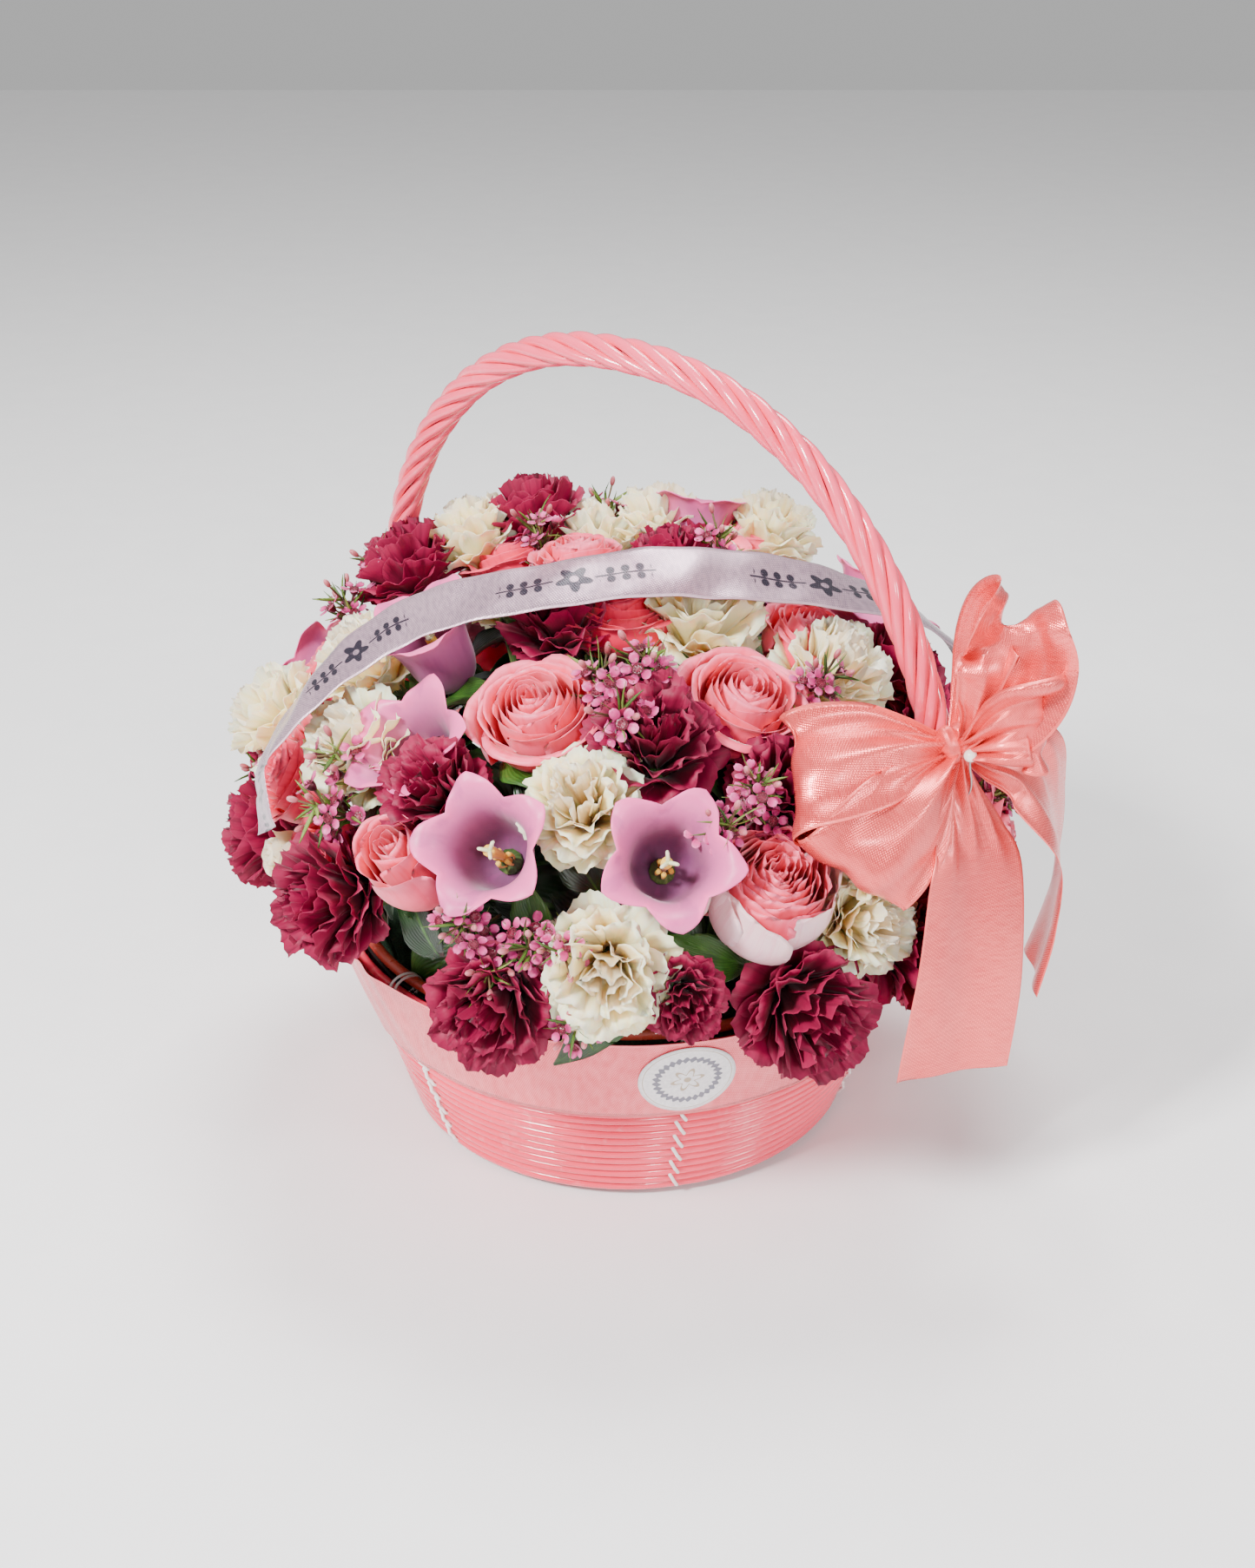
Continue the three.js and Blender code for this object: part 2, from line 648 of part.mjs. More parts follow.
function addBow() {
  const facing = new THREE.Vector3(Math.sin(KNOT_TURN), -Math.cos(KNOT_TURN), 0);
  const knotReach = handleReach + KNOT_SIZE[1] + 2 * CLEARANCE;
  const centre = legPlace(BOW_LEVEL).addScaledVector(facing, knotReach);
  const pieces = {
    bow_loop_left: [LOOP_LEFT, 18],
    bow_loop_right: [LOOP_RIGHT, 18],
    bow_tail_front: [TAIL_FRONT, 10],
    bow_tail_back: [TAIL_BACK, 12],
  };
  Object.entries(pieces).forEach(([name, [stations, steps]]) => {
    const mesh = add(name, stripAlong(stations, BOW_RIBBON_WIDTH, steps), COLOURS.bow, 0.35);
    mesh.position.copy(centre);
  });
  const knot = new THREE.SphereGeometry(1, 10, 8).rotateX(Math.PI / 2).scale(...KNOT_SIZE);
  const knotMesh = add('bow_knot', knot, COLOURS.bow, 0.35);
  knotMesh.position.copy(centre);
  knotMesh.rotation.z = KNOT_TURN;
  const pearl = new THREE.SphereGeometry(PEARL_DIAMETER / 2, 8, 6);
  const pearlReach = KNOT_SIZE[1] + PEARL_DIAMETER / 2 + CLEARANCE;
  add('pearl', pearl, COLOURS.pearl, 0.2).position.copy(centre).addScaledVector(facing, pearlReach);
}

function addPrintedRibbon() {
  const strip = stripAlong(LONG_RIBBON, LONG_RIBBON_WIDTH, LONG_RIBBON_STEPS);
  add('printed_ribbon', strip.translate(0, 0, domeLevel), COLOURS.printed, 0.35);
}

addBoard();
addWall();
addStitches();
addLiner();
addRimHoop();
addBand();
addHandle();
addFoam(addFlowers());
addPrintedRibbon();
addBow();

export default basket;
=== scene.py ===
import math
import random

import bmesh
import bpy
from mathutils import Matrix, Vector, noise


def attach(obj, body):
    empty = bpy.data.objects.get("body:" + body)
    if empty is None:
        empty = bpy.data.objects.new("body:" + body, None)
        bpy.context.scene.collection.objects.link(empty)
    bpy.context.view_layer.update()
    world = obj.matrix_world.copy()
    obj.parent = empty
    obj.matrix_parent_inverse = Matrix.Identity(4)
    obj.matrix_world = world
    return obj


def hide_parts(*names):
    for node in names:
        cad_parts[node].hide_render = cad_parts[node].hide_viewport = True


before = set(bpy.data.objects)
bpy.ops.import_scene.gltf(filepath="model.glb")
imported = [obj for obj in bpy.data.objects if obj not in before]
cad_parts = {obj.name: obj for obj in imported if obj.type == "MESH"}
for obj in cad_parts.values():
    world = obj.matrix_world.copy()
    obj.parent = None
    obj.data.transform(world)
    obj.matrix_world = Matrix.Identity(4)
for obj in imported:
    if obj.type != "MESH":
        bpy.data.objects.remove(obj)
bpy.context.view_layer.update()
mm = 0.001
fullTurn = 2 * math.pi
goldenTurn = math.radians(137.5)

view = {
    "distance": 0.9, "elevation": 32, "aimHeight": 0.06,
    "lens": 44.85, "sensor": 36, "shiftUp": 0.109, "nearest": 0.01,
}


def placeCamera():
    data = bpy.data.cameras.new("studioCamera")
    data.lens = view["lens"]
    data.sensor_width = view["sensor"]
    data.shift_y = view["shiftUp"]
    data.clip_start = view["nearest"]
    camera = bpy.data.objects.new("studioCamera", data)
    bpy.context.collection.objects.link(camera)
    rise = math.radians(view["elevation"])
    back, up = view["distance"] * math.cos(rise), view["distance"] * math.sin(rise)
    camera.location = (0, -back, view["aimHeight"] + up)
    camera.rotation_euler = (math.pi / 2 - rise, 0, 0)
    bpy.context.scene.camera = camera


placeCamera()


# shader maths
class Wire:  # a socket that plain arithmetic can be written on
    def __init__(self, paint, socket):
        self.paint = paint
        self.socket = socket

    def maths(self, operation, first, second=0.5, third=0.5):
        return self.paint.add(
            "ShaderNodeMath", {"operation": operation}, {0: first, 1: second, 2: third}
        )

    def __add__(self, other):
        return self.maths("ADD", self, other)

    def __radd__(self, other):
        return self.maths("ADD", other, self)

    def __sub__(self, other):
        return self.maths("SUBTRACT", self, other)

    def __rsub__(self, other):
        return self.maths("SUBTRACT", other, self)

    def __mul__(self, other):
        return self.maths("MULTIPLY", self, other)

    def __rmul__(self, other):
        return self.maths("MULTIPLY", other, self)

    def __truediv__(self, other):
        return self.maths("DIVIDE", self, other)

    def __rtruediv__(self, other):
        return self.maths("DIVIDE", other, self)

    def __pow__(self, other):
        return self.maths("POWER", self, other)

    def __mod__(self, other):
        return self.maths("WRAP", self, other, 0.0)

    def sine(self):
        return self.maths("SINE", self)

    def size(self):
        return self.maths("ABSOLUTE", self)

    def under(self, limit, soft):
        # 1 where this is below the limit, 0 above it, with a soft edge
        limits = {"From Min": limit - soft, "From Max": limit + soft, "To Min": 1, "To Max": 0}
        return self.paint.add(
            "ShaderNodeMapRange", {"interpolation_type": "SMOOTHSTEP"}, {"Value": self, **limits}
        )

    def most(self, other):
        return self.maths("MAXIMUM", self, other)


class Paint:  # one material
    def __init__(self, name, fixed):
        self.material = bpy.data.materials.new(name)
        self.material.use_nodes = True
        tree = self.material.node_tree
        self.nodes, self.links = tree.nodes, tree.links
        self.shader = self.nodes["Principled BSDF"]
        for socket, value in fixed.items():
            self.shader.inputs[socket].default_value = value
        self.spot = self.add("ShaderNodeTexCoord", out="Object")
        self.onPiece = self.add("ShaderNodeTexCoord", out="UV")
        self.across, self.along = self.parts(self.onPiece)
        self.tint = self.add("ShaderNodeAttribute", {"attribute_name": "tint"}, out="Fac")

    def add(self, kind, settings=None, inputs=None, out=0):
        made = self.nodes.new(kind)
        for name, value in (settings or {}).items():
            if name == "stops":
                self.setStops(made.color_ramp, value)
            else:
                setattr(made, name, value)
        for name, value in (inputs or {}).items():
            if isinstance(value, Wire):
                self.links.new(value.socket, made.inputs[name])
            else:
                made.inputs[name].default_value = value
        return Wire(self, made.outputs[out])

    def parts(self, wire):
        # the first two numbers of a vector
        first = self.add("ShaderNodeSeparateXYZ", {}, {0: wire})
        return first, Wire(self, first.socket.node.outputs["Y"])

    def setStops(self, ramp, stops):
        while len(ramp.elements) < len(stops):
            ramp.elements.new(0.5)
        for element, (place, colour) in zip(ramp.elements, stops):
            element.position = place
            element.color = colour

    def ramp(self, value, stops):
        return self.add("ShaderNodeValToRGB", {"stops": stops}, {0: value}, out="Color")

    def mix(self, first, second, share):
        colours = {0: share, 6: first, 7: second}
        return self.add("ShaderNodeMix", {"data_type": "RGBA"}, colours, out=2)

    def cloud(self, scale, detail, source=None):
        inputs = {"Vector": source or self.spot, "Scale": scale, "Detail": detail}
        return self.add("ShaderNodeTexNoise", {}, inputs)

    def stretched(self, x, y):
        # the piece's own map, for a grain finer one way than the other
        scaled = {0: self.onPiece, 1: (x, y, 1)}
        return self.add("ShaderNodeVectorMath", {"operation": "MULTIPLY"}, scaled)

    def ridges(self, value, count):
        # 0 to 1 and back, count times over the length of value
        return (value * (count * fullTurn)).sine() * 0.5 + 0.5

    def bump(self, height, strength, depth):
        inputs = {"Height": height, "Strength": strength, "Distance": depth}
        self.feed("Normal", self.add("ShaderNodeBump", {}, inputs))

    def feed(self, socket, wire):
        self.links.new(wire.socket, self.shader.inputs[socket])


def tone(red, green, blue):
    def linear(part):
        part /= 255
        return part / 12.92 if part <= 0.04045 else ((part + 0.055) / 1.055) ** 2.4

    return (linear(red), linear(green), linear(blue), 1.0)


# finishes
def tubePlastic(name, light, deep, shine):
    paint = Paint(name, {"IOR": 1.5, "Coat Weight": 0.6, "Coat Roughness": 0.06})
    patches = paint.cloud(14, 2)
    colour = paint.ramp(patches, [(0.32, deep), (0.68, light)])
    dust = paint.cloud(260, 2) * paint.cloud(30, 2)
    colour = paint.mix(colour, tone(255, 210, 212), dust.under(0.15, 0.03) * 0.08)
    paint.feed("Base Color", colour)
    paint.feed("Roughness", paint.cloud(60, 3) * 0.16 + shine)
    drawn = paint.cloud(1.0, 2, paint.stretched(9, 260))
    paint.bump(drawn * 0.7 + paint.cloud(220, 2) * 0.5, 0.22, 0.0006)
    return paint.material


coilPlastic = tubePlastic("coilPlastic", tone(255, 70, 100), tone(230, 42, 74), 0.14)
handlePlastic = tubePlastic("handlePlastic", tone(255, 92, 120), tone(244, 66, 98), 0.14)
rimPlastic = tubePlastic("rimPlastic", tone(220, 96, 76), tone(190, 66, 50), 0.2)


def makeStitchPlastic():
    paint = Paint("stitchPlastic", {"IOR": 1.45, "Coat Weight": 0.2})
    fibres = paint.cloud(1.0, 3, paint.stretched(30, 4))
    colour = paint.ramp(fibres, [(0.3, tone(226, 214, 210)), (0.6, tone(250, 246, 244))])
    paint.feed("Base Color", colour)
    paint.feed("Roughness", fibres * 0.2 + 0.3)
    paint.bump(fibres, 0.4, 0.0003)
    return paint.material


stitchPlastic = makeStitchPlastic()


def weaveOn(paint, width, length, pitch=0.9 * mm):
    # satin: staggered floats over the ribbon's width, in its own map
    columns, rows = width / pitch, length / pitch
    warp = paint.ridges(paint.across + paint.along * (length / width) * 0.35, columns)
    weft = paint.ridges(paint.along - paint.across * (width / length) * 0.5, rows)
    return warp * weft


def selvage(paint, width, edge=1.1 * mm):
    fromEdge = (0.5 - (paint.across - 0.5).size()) * width
    return fromEdge.under(edge, 0.2 * mm)


def satin(name, light, deep, width, length):
    paint = Paint(name, {
        "Metallic": 0.5, "Anisotropic": 0.6, "IOR": 1.6, "Coat Weight": 0.3, "Coat Roughness": 0.2,
    })
    weave = weaveOn(paint, width, length)
    streaks = paint.cloud(1.0, 3, paint.stretched(7, 240))
    base = paint.ramp(streaks * 0.6 + paint.cloud(22, 2) * 0.4, [(0.36, deep), (0.64, light)])
    base = paint.mix(base, light, weave * 0.7)
    edge = selvage(paint, width)
    base = paint.mix(base, light, edge * 0.7)
    paint.feed("Base Color", base)
    paint.feed("Roughness", 0.2 + weave * 0.1 + edge * 0.2)
    paint.bump(weave + edge * 1.2 + streaks * 0.3, 0.3, 0.00025)
    return paint


def sprigMarks(paint, along, across):
    # a little flower between two leafy twigs, in millimetres from its middle
    along, across = along * 0.72, across * 0.72
    radius = (along * along + across * across) ** 0.5
    turn = paint.add("ShaderNodeMath", {"operation": "ARCTAN2"}, {0: across, 1: along})
    flower = (radius - (turn * 5).sine() * 1.1).under(3.6, 0.18)
    heart = radius.under(1.1, 0.15)
    reach = along.size()
    twig = across.size().under(0.32, 0.1) * (reach - 12.5).size().under(7.5, 0.3)
    step, aside = ((reach - 7) % 3.6) - 1.8, across.size() - 1.6
    leafing = ((step * step + aside * aside * 0.6) ** 0.5).under(1.05, 0.15)
    leafing = leafing * (reach - 12.5).size().under(6.4, 0.2)
    return (flower - heart).most(twig).most(leafing)


printed = {"repeat": 93, "start": 24}  # millimetres from one printed flower to the next


def makePrintedSatin(width, length):
    paint = satin("printedSatin", tone(196, 164, 178), tone(142, 116, 134), width, length)
    repeat = printed["repeat"]
    along = ((paint.along * (length / mm) + printed["start"]) % repeat) - repeat / 2
    across = (paint.across - 0.5) * (width / mm)
    marks = sprigMarks(paint, along, across)
    worn = marks * (paint.cloud(900, 2).under(0.66, 0.05) * 0.2 + 0.75)
    cloth = paint.shader.inputs["Base Color"].links[0].from_socket
    paint.feed("Base Color", paint.mix(Wire(paint, cloth), tone(22, 20, 40), worn))
    return paint.material


def makeStickerPaper(radius):
    paint = Paint("stickerPaper", {"IOR": 1.48, "Coat Weight": 0.25, "Coat Roughness": 0.2})
    fromMiddle = paint.along * (radius / mm)
    turn = paint.across * fullTurn
    fromRing = fromMiddle - 12.6
    leafing = (turn * 14).sine() * 1.3
    stalks = (turn * 28).sine() * 0.4
    wreath = ((fromRing + stalks).size() - leafing.size()).under(0.35, 0.12)
    ring = fromRing.size().under(0.16, 0.08)
    rim = (fromMiddle - 18.2).size().under(0.16, 0.08)
    bloom = (fromMiddle - (turn * 6).sine() * 1.9).under(5.2, 0.14)
    bloomLine = (fromMiddle - (turn * 6).sine() * 1.4).under(4.1, 0.14)
    heart = fromMiddle.under(1.5, 0.12)
    fibre = paint.cloud(700, 3)
    paper = paint.ramp(fibre, [(0.3, tone(226, 222, 224)), (0.7, tone(246, 243, 244))])
    paper = paint.mix(paper, tone(70, 72, 96), wreath.most(ring) * 0.85)
    paper = paint.mix(paper, tone(168, 140, 96), rim.most(bloom - bloomLine).most(heart) * 0.8)
    paint.feed("Base Color", paper)
    paint.feed("Roughness", fibre * 0.15 + 0.32)
    paint.bump(fibre, 0.15, 0.0002)
    return paint.material


# tones of the root, middle, edge and veins, then the veins over the petal's width and the
# roughness; glow is light through the petal, drift how far one petal's shade is from the next
petalTones = {
    # the red petal's near-black root is partly its own deeper colour, partly painted shade deep
    # inside the head
    "redPetal": ((22, 0, 10), (108, 0, 40), (150, 0, 62), (44, 0, 18), 16, 0.6),
    "creamPetal": ((255, 186, 76), (255, 226, 162), (255, 240, 210), (255, 212, 136), 14, 0.55),
    "rosePetal": ((232, 4, 58), (252, 60, 100), (255, 116, 146), (240, 30, 78), 10, 0.42),
    "hotPetal": ((204, 0, 44), (240, 22, 74), (252, 70, 108), (208, 4, 52), 10, 0.42),
    "palePetal": ((250, 150, 168), (253, 184, 192), (255, 206, 208), (244, 130, 158), 26, 0.45),
    # the bell petal's dark, dull root is painted shade in the bell's throat
    "bellPetal": ((96, 62, 90), (192, 96, 148), (250, 98, 164), (136, 56, 112), 12, 0.4),
    "waxPetal": ((150, 10, 80), (206, 56, 128), (232, 112, 168), (150, 24, 96), 8, 0.35),
    "waxCup": ((60, 0, 18), (92, 6, 32), (150, 44, 72), (34, 0, 10), 26, 0.3),
    "waxBud": ((120, 40, 44), (176, 88, 96), (214, 130, 140), (130, 40, 60), 9, 0.35),
    "stamenYellow": ((196, 120, 30), (232, 172, 44), (244, 204, 84), (168, 96, 22), 30, 0.6),
    "stigmaGreen": ((190, 200, 140), (222, 228, 176), (236, 240, 206), (200, 206, 150), 8, 0.4),
}
petalExtras = {
    "redPetal": {"sheen": 0.05},
    "creamPetal": {"glow": 0.45},
    "palePetal": {"glow": 0.2},
    "bellPetal": {"sheen": 0.2, "drift": 0.1},
}


def petalFinish(name, sheen=0.25, drift=0.35, glow=0.0):
    *colours, veins, rough = petalTones[name]
    base, middle, tip, veinTone = (tone(*colour) for colour in colours)
    paint = Paint(name, {
        "Sheen Weight": sheen, "Sheen Roughness": 0.4, "IOR": 1.4,
        "Subsurface Weight": glow, "Subsurface Scale": 2.5 * mm,
    })
    fan = paint.cloud(1.0, 3, paint.stretched(veins, 1.6))
    shade = paint.along + (paint.tint - 0.5) * drift + (fan - 0.5) * 0.22
    # the ramp runs from root to tip, so the dark red and bell roots put painted shade deep in the
    # head
    colour = paint.ramp(shade, [(0.12, base), (0.55, middle), (0.98, tip)])
    lines = fan.under(0.42, 0.06)
    colour = paint.mix(colour, veinTone, lines * 0.28)
    blotch = paint.cloud(95, 3)
    colour = paint.mix(colour, middle, blotch * 0.3)
    paint.feed("Base Color", colour)
    paint.feed("Roughness", blotch * 0.2 + rough - 0.1)
    paint.bump(fan * 0.8 + paint.cloud(420, 2) * 0.4, 0.35, 0.0006)
    return paint.material


petals = {name: petalFinish(name, **petalExtras.get(name, {})) for name in petalTones}


def greenFinish(name, deep, middle, light, shine):
    paint = Paint(name, {"IOR": 1.45, "Coat Weight": 0.15, "Coat Roughness": 0.3})
    slant = (paint.across - 0.5).size() * 2.2 - paint.along
    ribs = paint.ridges(slant, 7)
    spine = (paint.across - 0.5).size().under(0.035, 0.02)
    patches = paint.cloud(60, 3) + (paint.tint - 0.5) * 0.5
    colour = paint.ramp(patches, [(0.25, deep), (0.55, middle), (0.85, light)])
    colour = paint.mix(colour, light, spine * 0.6)
    colour = paint.mix(colour, deep, (ribs ** 6) * 0.35)
    paint.feed("Base Color", colour)
    paint.feed("Roughness", patches * 0.2 + shine)
    paint.bump(ribs * 0.5 + spine + paint.cloud(500, 2) * 0.5, 0.4, 0.0006)
    return paint.material


leafGreen = greenFinish("leafGreen", tone(10, 28, 8), tone(26, 60, 18), tone(64, 108, 36), 0.26)
stemGreen = greenFinish("stemGreen", tone(40, 62, 26), tone(74, 100, 44), tone(120, 140, 72), 0.45)
twigBrown = greenFinish("twigBrown", tone(58, 26, 22), tone(96, 62, 40), tone(110, 112, 56), 0.5)
needleGreen = greenFinish(
    "needleGreen", tone(52, 84, 24), tone(92, 124, 36), tone(150, 168, 80), 0.35
)


def makePearlGloss():
    paint = Paint("pearlGloss", {"Coat Weight": 0.8, "Coat Roughness": 0.06, "IOR": 1.6})
    swirl = paint.cloud(300, 2)
    colour = paint.ramp(swirl, [(0.35, tone(236, 222, 208)), (0.65, tone(252, 246, 240))])
    paint.feed("Base Color", colour)
    paint.feed("Roughness", swirl * 0.1 + 0.18)
    return paint.material


def makeFoamGreen():
    paint = Paint("foamGreen", {})
    grains = paint.add("ShaderNodeTexVoronoi", {}, {"Vector": paint.spot, "Scale": 900.0})
    colour = paint.ramp(grains, [(0.1, tone(12, 34, 20)), (0.7, tone(34, 66, 40))])
    paint.feed("Base Color", colour)
    paint.feed("Roughness", grains * 0.1 + 0.85)
    paint.bump(grains, 0.6, 0.0006)
    return paint.material


def makeBoardPlastic():
    paint = Paint("boardPlastic", {"IOR": 1.5})
    x, y = paint.parts(paint.spot)
    rings = paint.ridges((x * x + y * y) ** 0.5, 1 / (4.6 * mm))
    worn = paint.cloud(40, 4)
    colour = paint.ramp(worn, [(0.3, tone(222, 128, 138)), (0.7, tone(244, 156, 164))])
    # painted shade: the colour is darkened in the grooves between the coiled rings
    colour = paint.mix(colour, tone(180, 92, 104), (1 - rings) * 0.35)
    paint.feed("Base Color", colour)
    paint.feed("Roughness", worn * 0.25 + 0.3)
    paint.bump(rings + worn * 0.3, 0.6, 0.0012)
    return paint.material


def makeLinerFilm():
    paint = Paint("linerFilm", {"IOR": 1.5})
    creases = paint.cloud(38, 4)
    colour = paint.ramp(creases, [(0.3, tone(26, 24, 24)), (0.7, tone(58, 50, 50))])
    paint.feed("Base Color", colour)
    paint.feed("Roughness", creases * 0.3 + 0.25)
    paint.bump(creases, 0.5, 0.002)
    return paint.material


def makeWireSteel():
    paint = Paint("wireSteel", {"Metallic": 1.0})
    drawn = paint.cloud(120, 4)
    colour = paint.ramp(drawn, [(0.3, tone(150, 148, 146)), (0.7, tone(196, 194, 190))])
    paint.feed("Base Color", colour)
    paint.feed("Roughness", drawn * 0.2 + 0.3)
    paint.bump(drawn, 0.2, 0.0004)
    return paint.material


wireSteel = makeWireSteel()
pearlGloss = makePearlGloss()
print("finishes made")


# mesh helpers
def newMesh():
    bm = bmesh.new()
    bm.loops.layers.uv.new("piece")
    bm.verts.layers.float.new("tint")
    return bm


def patch(bm, columns, rows, place, tint=0.5, slot=0, thick=0.0, closed=False):
    # a grid moved by place(u, v), both from 0 to 1, and mapped with the same u and v
    made = bmesh.ops.create_grid(bm, x_segments=columns, y_segments=rows, size=0.5)
    verts = made["verts"]
    faces = list(dict.fromkeys(face for vert in verts for face in vert.link_faces))
    uv = bm.loops.layers.uv.active
    shade = bm.verts.layers.float["tint"]
    for face in faces:
        face.smooth = True
        face.material_index = slot
        for loop in face.loops:
            loop[uv].uv = (loop.vert.co.x + 0.5, loop.vert.co.y + 0.5)
    for vert in verts:
        vert[shade] = tint
        vert.co = place(vert.co.x + 0.5, vert.co.y + 0.5)
    if closed:
        bmesh.ops.remove_doubles(bm, verts=verts, dist=0.002 * mm)
        faces = [face for face in faces if face.is_valid]
    if thick:
        bmesh.ops.solidify(bm, geom=faces, thickness=thick)
    return faces


def frames(points):
    # a frame carried along a line without twisting: place, side, up and direction
    made, side = [], None
    for i, point in enumerate(points):
        before, after = points[max(i - 1, 0)], points[min(i + 1, len(points) - 1)]
        ahead = (after - before).normalized()
        if side is None:
            side = ahead.orthogonal()
        side = (side - ahead * side.dot(ahead)).normalized()
        made.append((point, side, ahead.cross(side), ahead))
    return made


def tube(bm, points, radius, sides=8, tint=0.5, slot=0):
    # a tube with its ends shut; radius is a number, or a rule over 0 to 1
    line = frames(points)
    last = len(points) - 1

    def place(u, v):
        row = round(v * (last + 2)) - 1
        point, side, up, ahead = line[min(max(row, 0), last)]
        if row < 0 or row > last:
            return point
        size = radius(row / last) if callable(radius) else radius
        return point + side * (size * math.cos(u * fullTurn)) + up * (size * math.sin(u * fullTurn))

    return patch(bm, sides, last + 2, place, tint, slot, closed=True)


def between(p, q, r, s, f):
    # a smooth step from q to r, led by the values on either side
    slope, bend, twist = r - p, 2 * p - 5 * q + 4 * r - s, 3 * q - p - 3 * r + s
    return 0.5 * (2 * q + slope * f + bend * f * f + twist * f ** 3)


def curveThrough(stations, count):
    # an even run of values through the stations, which are tuples of numbers
    spans = len(stations) - 1
    made = []
    for i in range(count + 1):
        t = i / count * spans
        k = min(int(t), spans - 1)
        f = t - k
        a, b, c, d = (stations[min(max(k + j, 0), spans)] for j in (-1, 0, 1, 2))
        made.append(tuple(between(*four, f) for four in zip(a, b, c, d)))
    return made


def soft(value, low, high):
    # 0 below low, 1 above high and an easy slope between them
    share = min(max((value - low) / (high - low), 0), 1)
    return share * share * (3 - 2 * share)


def spun(turn, size=3):
    return Matrix.Rotation(turn, size, "Z")


def polar(reach, turn, z):
    # turn counts from the right, towards the back
    return Vector((reach * math.cos(turn), reach * math.sin(turn), z))


def toMesh(bm, name):
    mesh = bpy.data.meshes.new(name)
    bm.to_mesh(mesh)
    bm.free()
    return mesh


def toPiece(bm, name, materials, replaced=(), outwards=True):
    if outwards:
        bmesh.ops.recalc_face_normals(bm, faces=bm.faces)
    mesh = toMesh(bm, name)
    for material in materials:
        mesh.materials.append(material)
    piece = bpy.data.objects.new(name, mesh)
    bpy.context.collection.objects.link(piece)
    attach(piece, "root")
    if replaced:
        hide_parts(*replaced)
    return piece


# floor and light
studio = {
    "floorSize": 6,
    "floorTone": tone(244, 243, 243),
    "skyTone": tone(255, 255, 255),
    "skyStrength": 0.5,
    "litPoint": Vector((0, 0, 0.13)),
    "lamps": [  # name, place, size in metres and watts
        ("keyLamp", (-0.95, -1.0, 1.35), 0.32, 66),
        ("fillLamp", (1.25, -0.9, 0.8), 0.4, 10),
        ("topLamp", (0.1, 0.5, 1.6), 0.6, 26),
        ("glossLamp", (0.35, -1.5, 0.95), 0.18, 9),
    ],
}


def makeStudio():
    bm = newMesh()
    patch(bm, 2, 2, lambda u, v: Vector((u - 0.5, v - 0.5, 0)) * studio["floorSize"])
    mesh = toMesh(bm, "floor")
    paint = Paint("floorPaper", {"Roughness": 0.7})
    grain = paint.cloud(30, 2)
    pale = studio["floorTone"]
    paint.feed("Base Color", paint.ramp(grain, [(0.2, pale), (0.8, tone(240, 239, 240))]))
    mesh.materials.append(paint.material)
    floor = bpy.data.objects.new("floor", mesh)
    bpy.context.collection.objects.link(floor)
    world = bpy.data.worlds.new("studioWorld")
    world.use_nodes = True
    sky = world.node_tree.nodes["Background"]
    sky.inputs["Color"].default_value = studio["skyTone"]
    sky.inputs["Strength"].default_value = studio["skyStrength"]
    bpy.context.scene.world = world
    for name, place, size, power in studio["lamps"]:
        data = bpy.data.lights.new(name, "AREA")
        data.size = size
        data.energy = power
        lamp = bpy.data.objects.new(name, data)
        lamp.location = place
        towards = studio["litPoint"] - Vector(place)
        lamp.rotation_euler = towards.to_track_quat("-Z", "Y").to_euler()
        bpy.context.collection.objects.link(lamp)


makeStudio()
print("studio made")

# coiled wall
wall = {
    "tube": 4.3 * mm,
    "firstHeight": 2.35 * mm,
    "firstRadius": 99.35 * mm,
    "flare": math.radians(16.2),
    "turns": 21,
    "rise": 4.417 * mm,
    "steps": 84,
    "wobble": 0.42 * mm,
    "pinch": 0.9,
    "sag": 0.8,
}
stitch = {
    "lines": 6,
    "start": math.radians(-49),
    "coils": 2,
    "count": 10,
    "first": 5.2 * mm,
    "slant": math.radians(1.15),
    "width": 0.8 * mm,
    "pullWidth": math.radians(3.5),
    "bulge": 0.45 * mm,
    "standOff": 0.55 * mm,
    "sink": 2.6 * mm,
    "rimTurns": 2,
    "rimGap": math.radians(1.4),
    "rimReach": (6.4 * mm, 4.9 * mm),
    "rimShift": (2.9 * mm, -1.6 * mm),
    "rimWidth": 0.6 * mm,
}


def wallRadius(z):
    return wall["firstRadius"] + (z - wall["firstHeight"]) * math.tan(wall["flare"])


def wallOutside(z):
    return wallRadius(z) + wall["tube"] / 2 / math.cos(wall["flare"])


def around(turn, radius, z):
    # turn counts from the front, towards the right
    return Vector((radius * math.sin(turn), -radius * math.cos(turn), z))


def stitchPull(turn):
    # 1 on a line of stitches, falling to 0 between them
    step = fullTurn / stitch["lines"]
    off = abs((turn - stitch["start"] + step / 2) % step - step / 2)
    return math.exp(-((off / stitch["pullWidth"]) ** 2))


def makeWall():
    total = wall["turns"] * wall["steps"]
    points = []
    for i in range(total + 1):
        turn = fullTurn * i / wall["steps"]
        z = wall["firstHeight"] + wall["rise"] * i / wall["steps"]
        fromFront = turn + math.pi / 2
        wave = noise.noise(Vector((math.cos(turn) * 2, math.sin(turn) * 2, z * 160)))
        sway = noise.noise(Vector((math.cos(turn) * 3, math.sin(turn) * 3, 7 + z * 90)))
        radius = wallRadius(z) + wall["wobble"] * (wave - wall["pinch"] * stitchPull(fromFront))
        lift = wall["wobble"] * wall["sag"] * sway * min(1, i / wall["steps"])
        points.append(polar(radius, turn, z + lift))
    bm = newMesh()
    tube(bm, points, wall["tube"] / 2, 12)
    toPiece(bm, "coiledWall", [coilPlastic], ["wall_coil"])


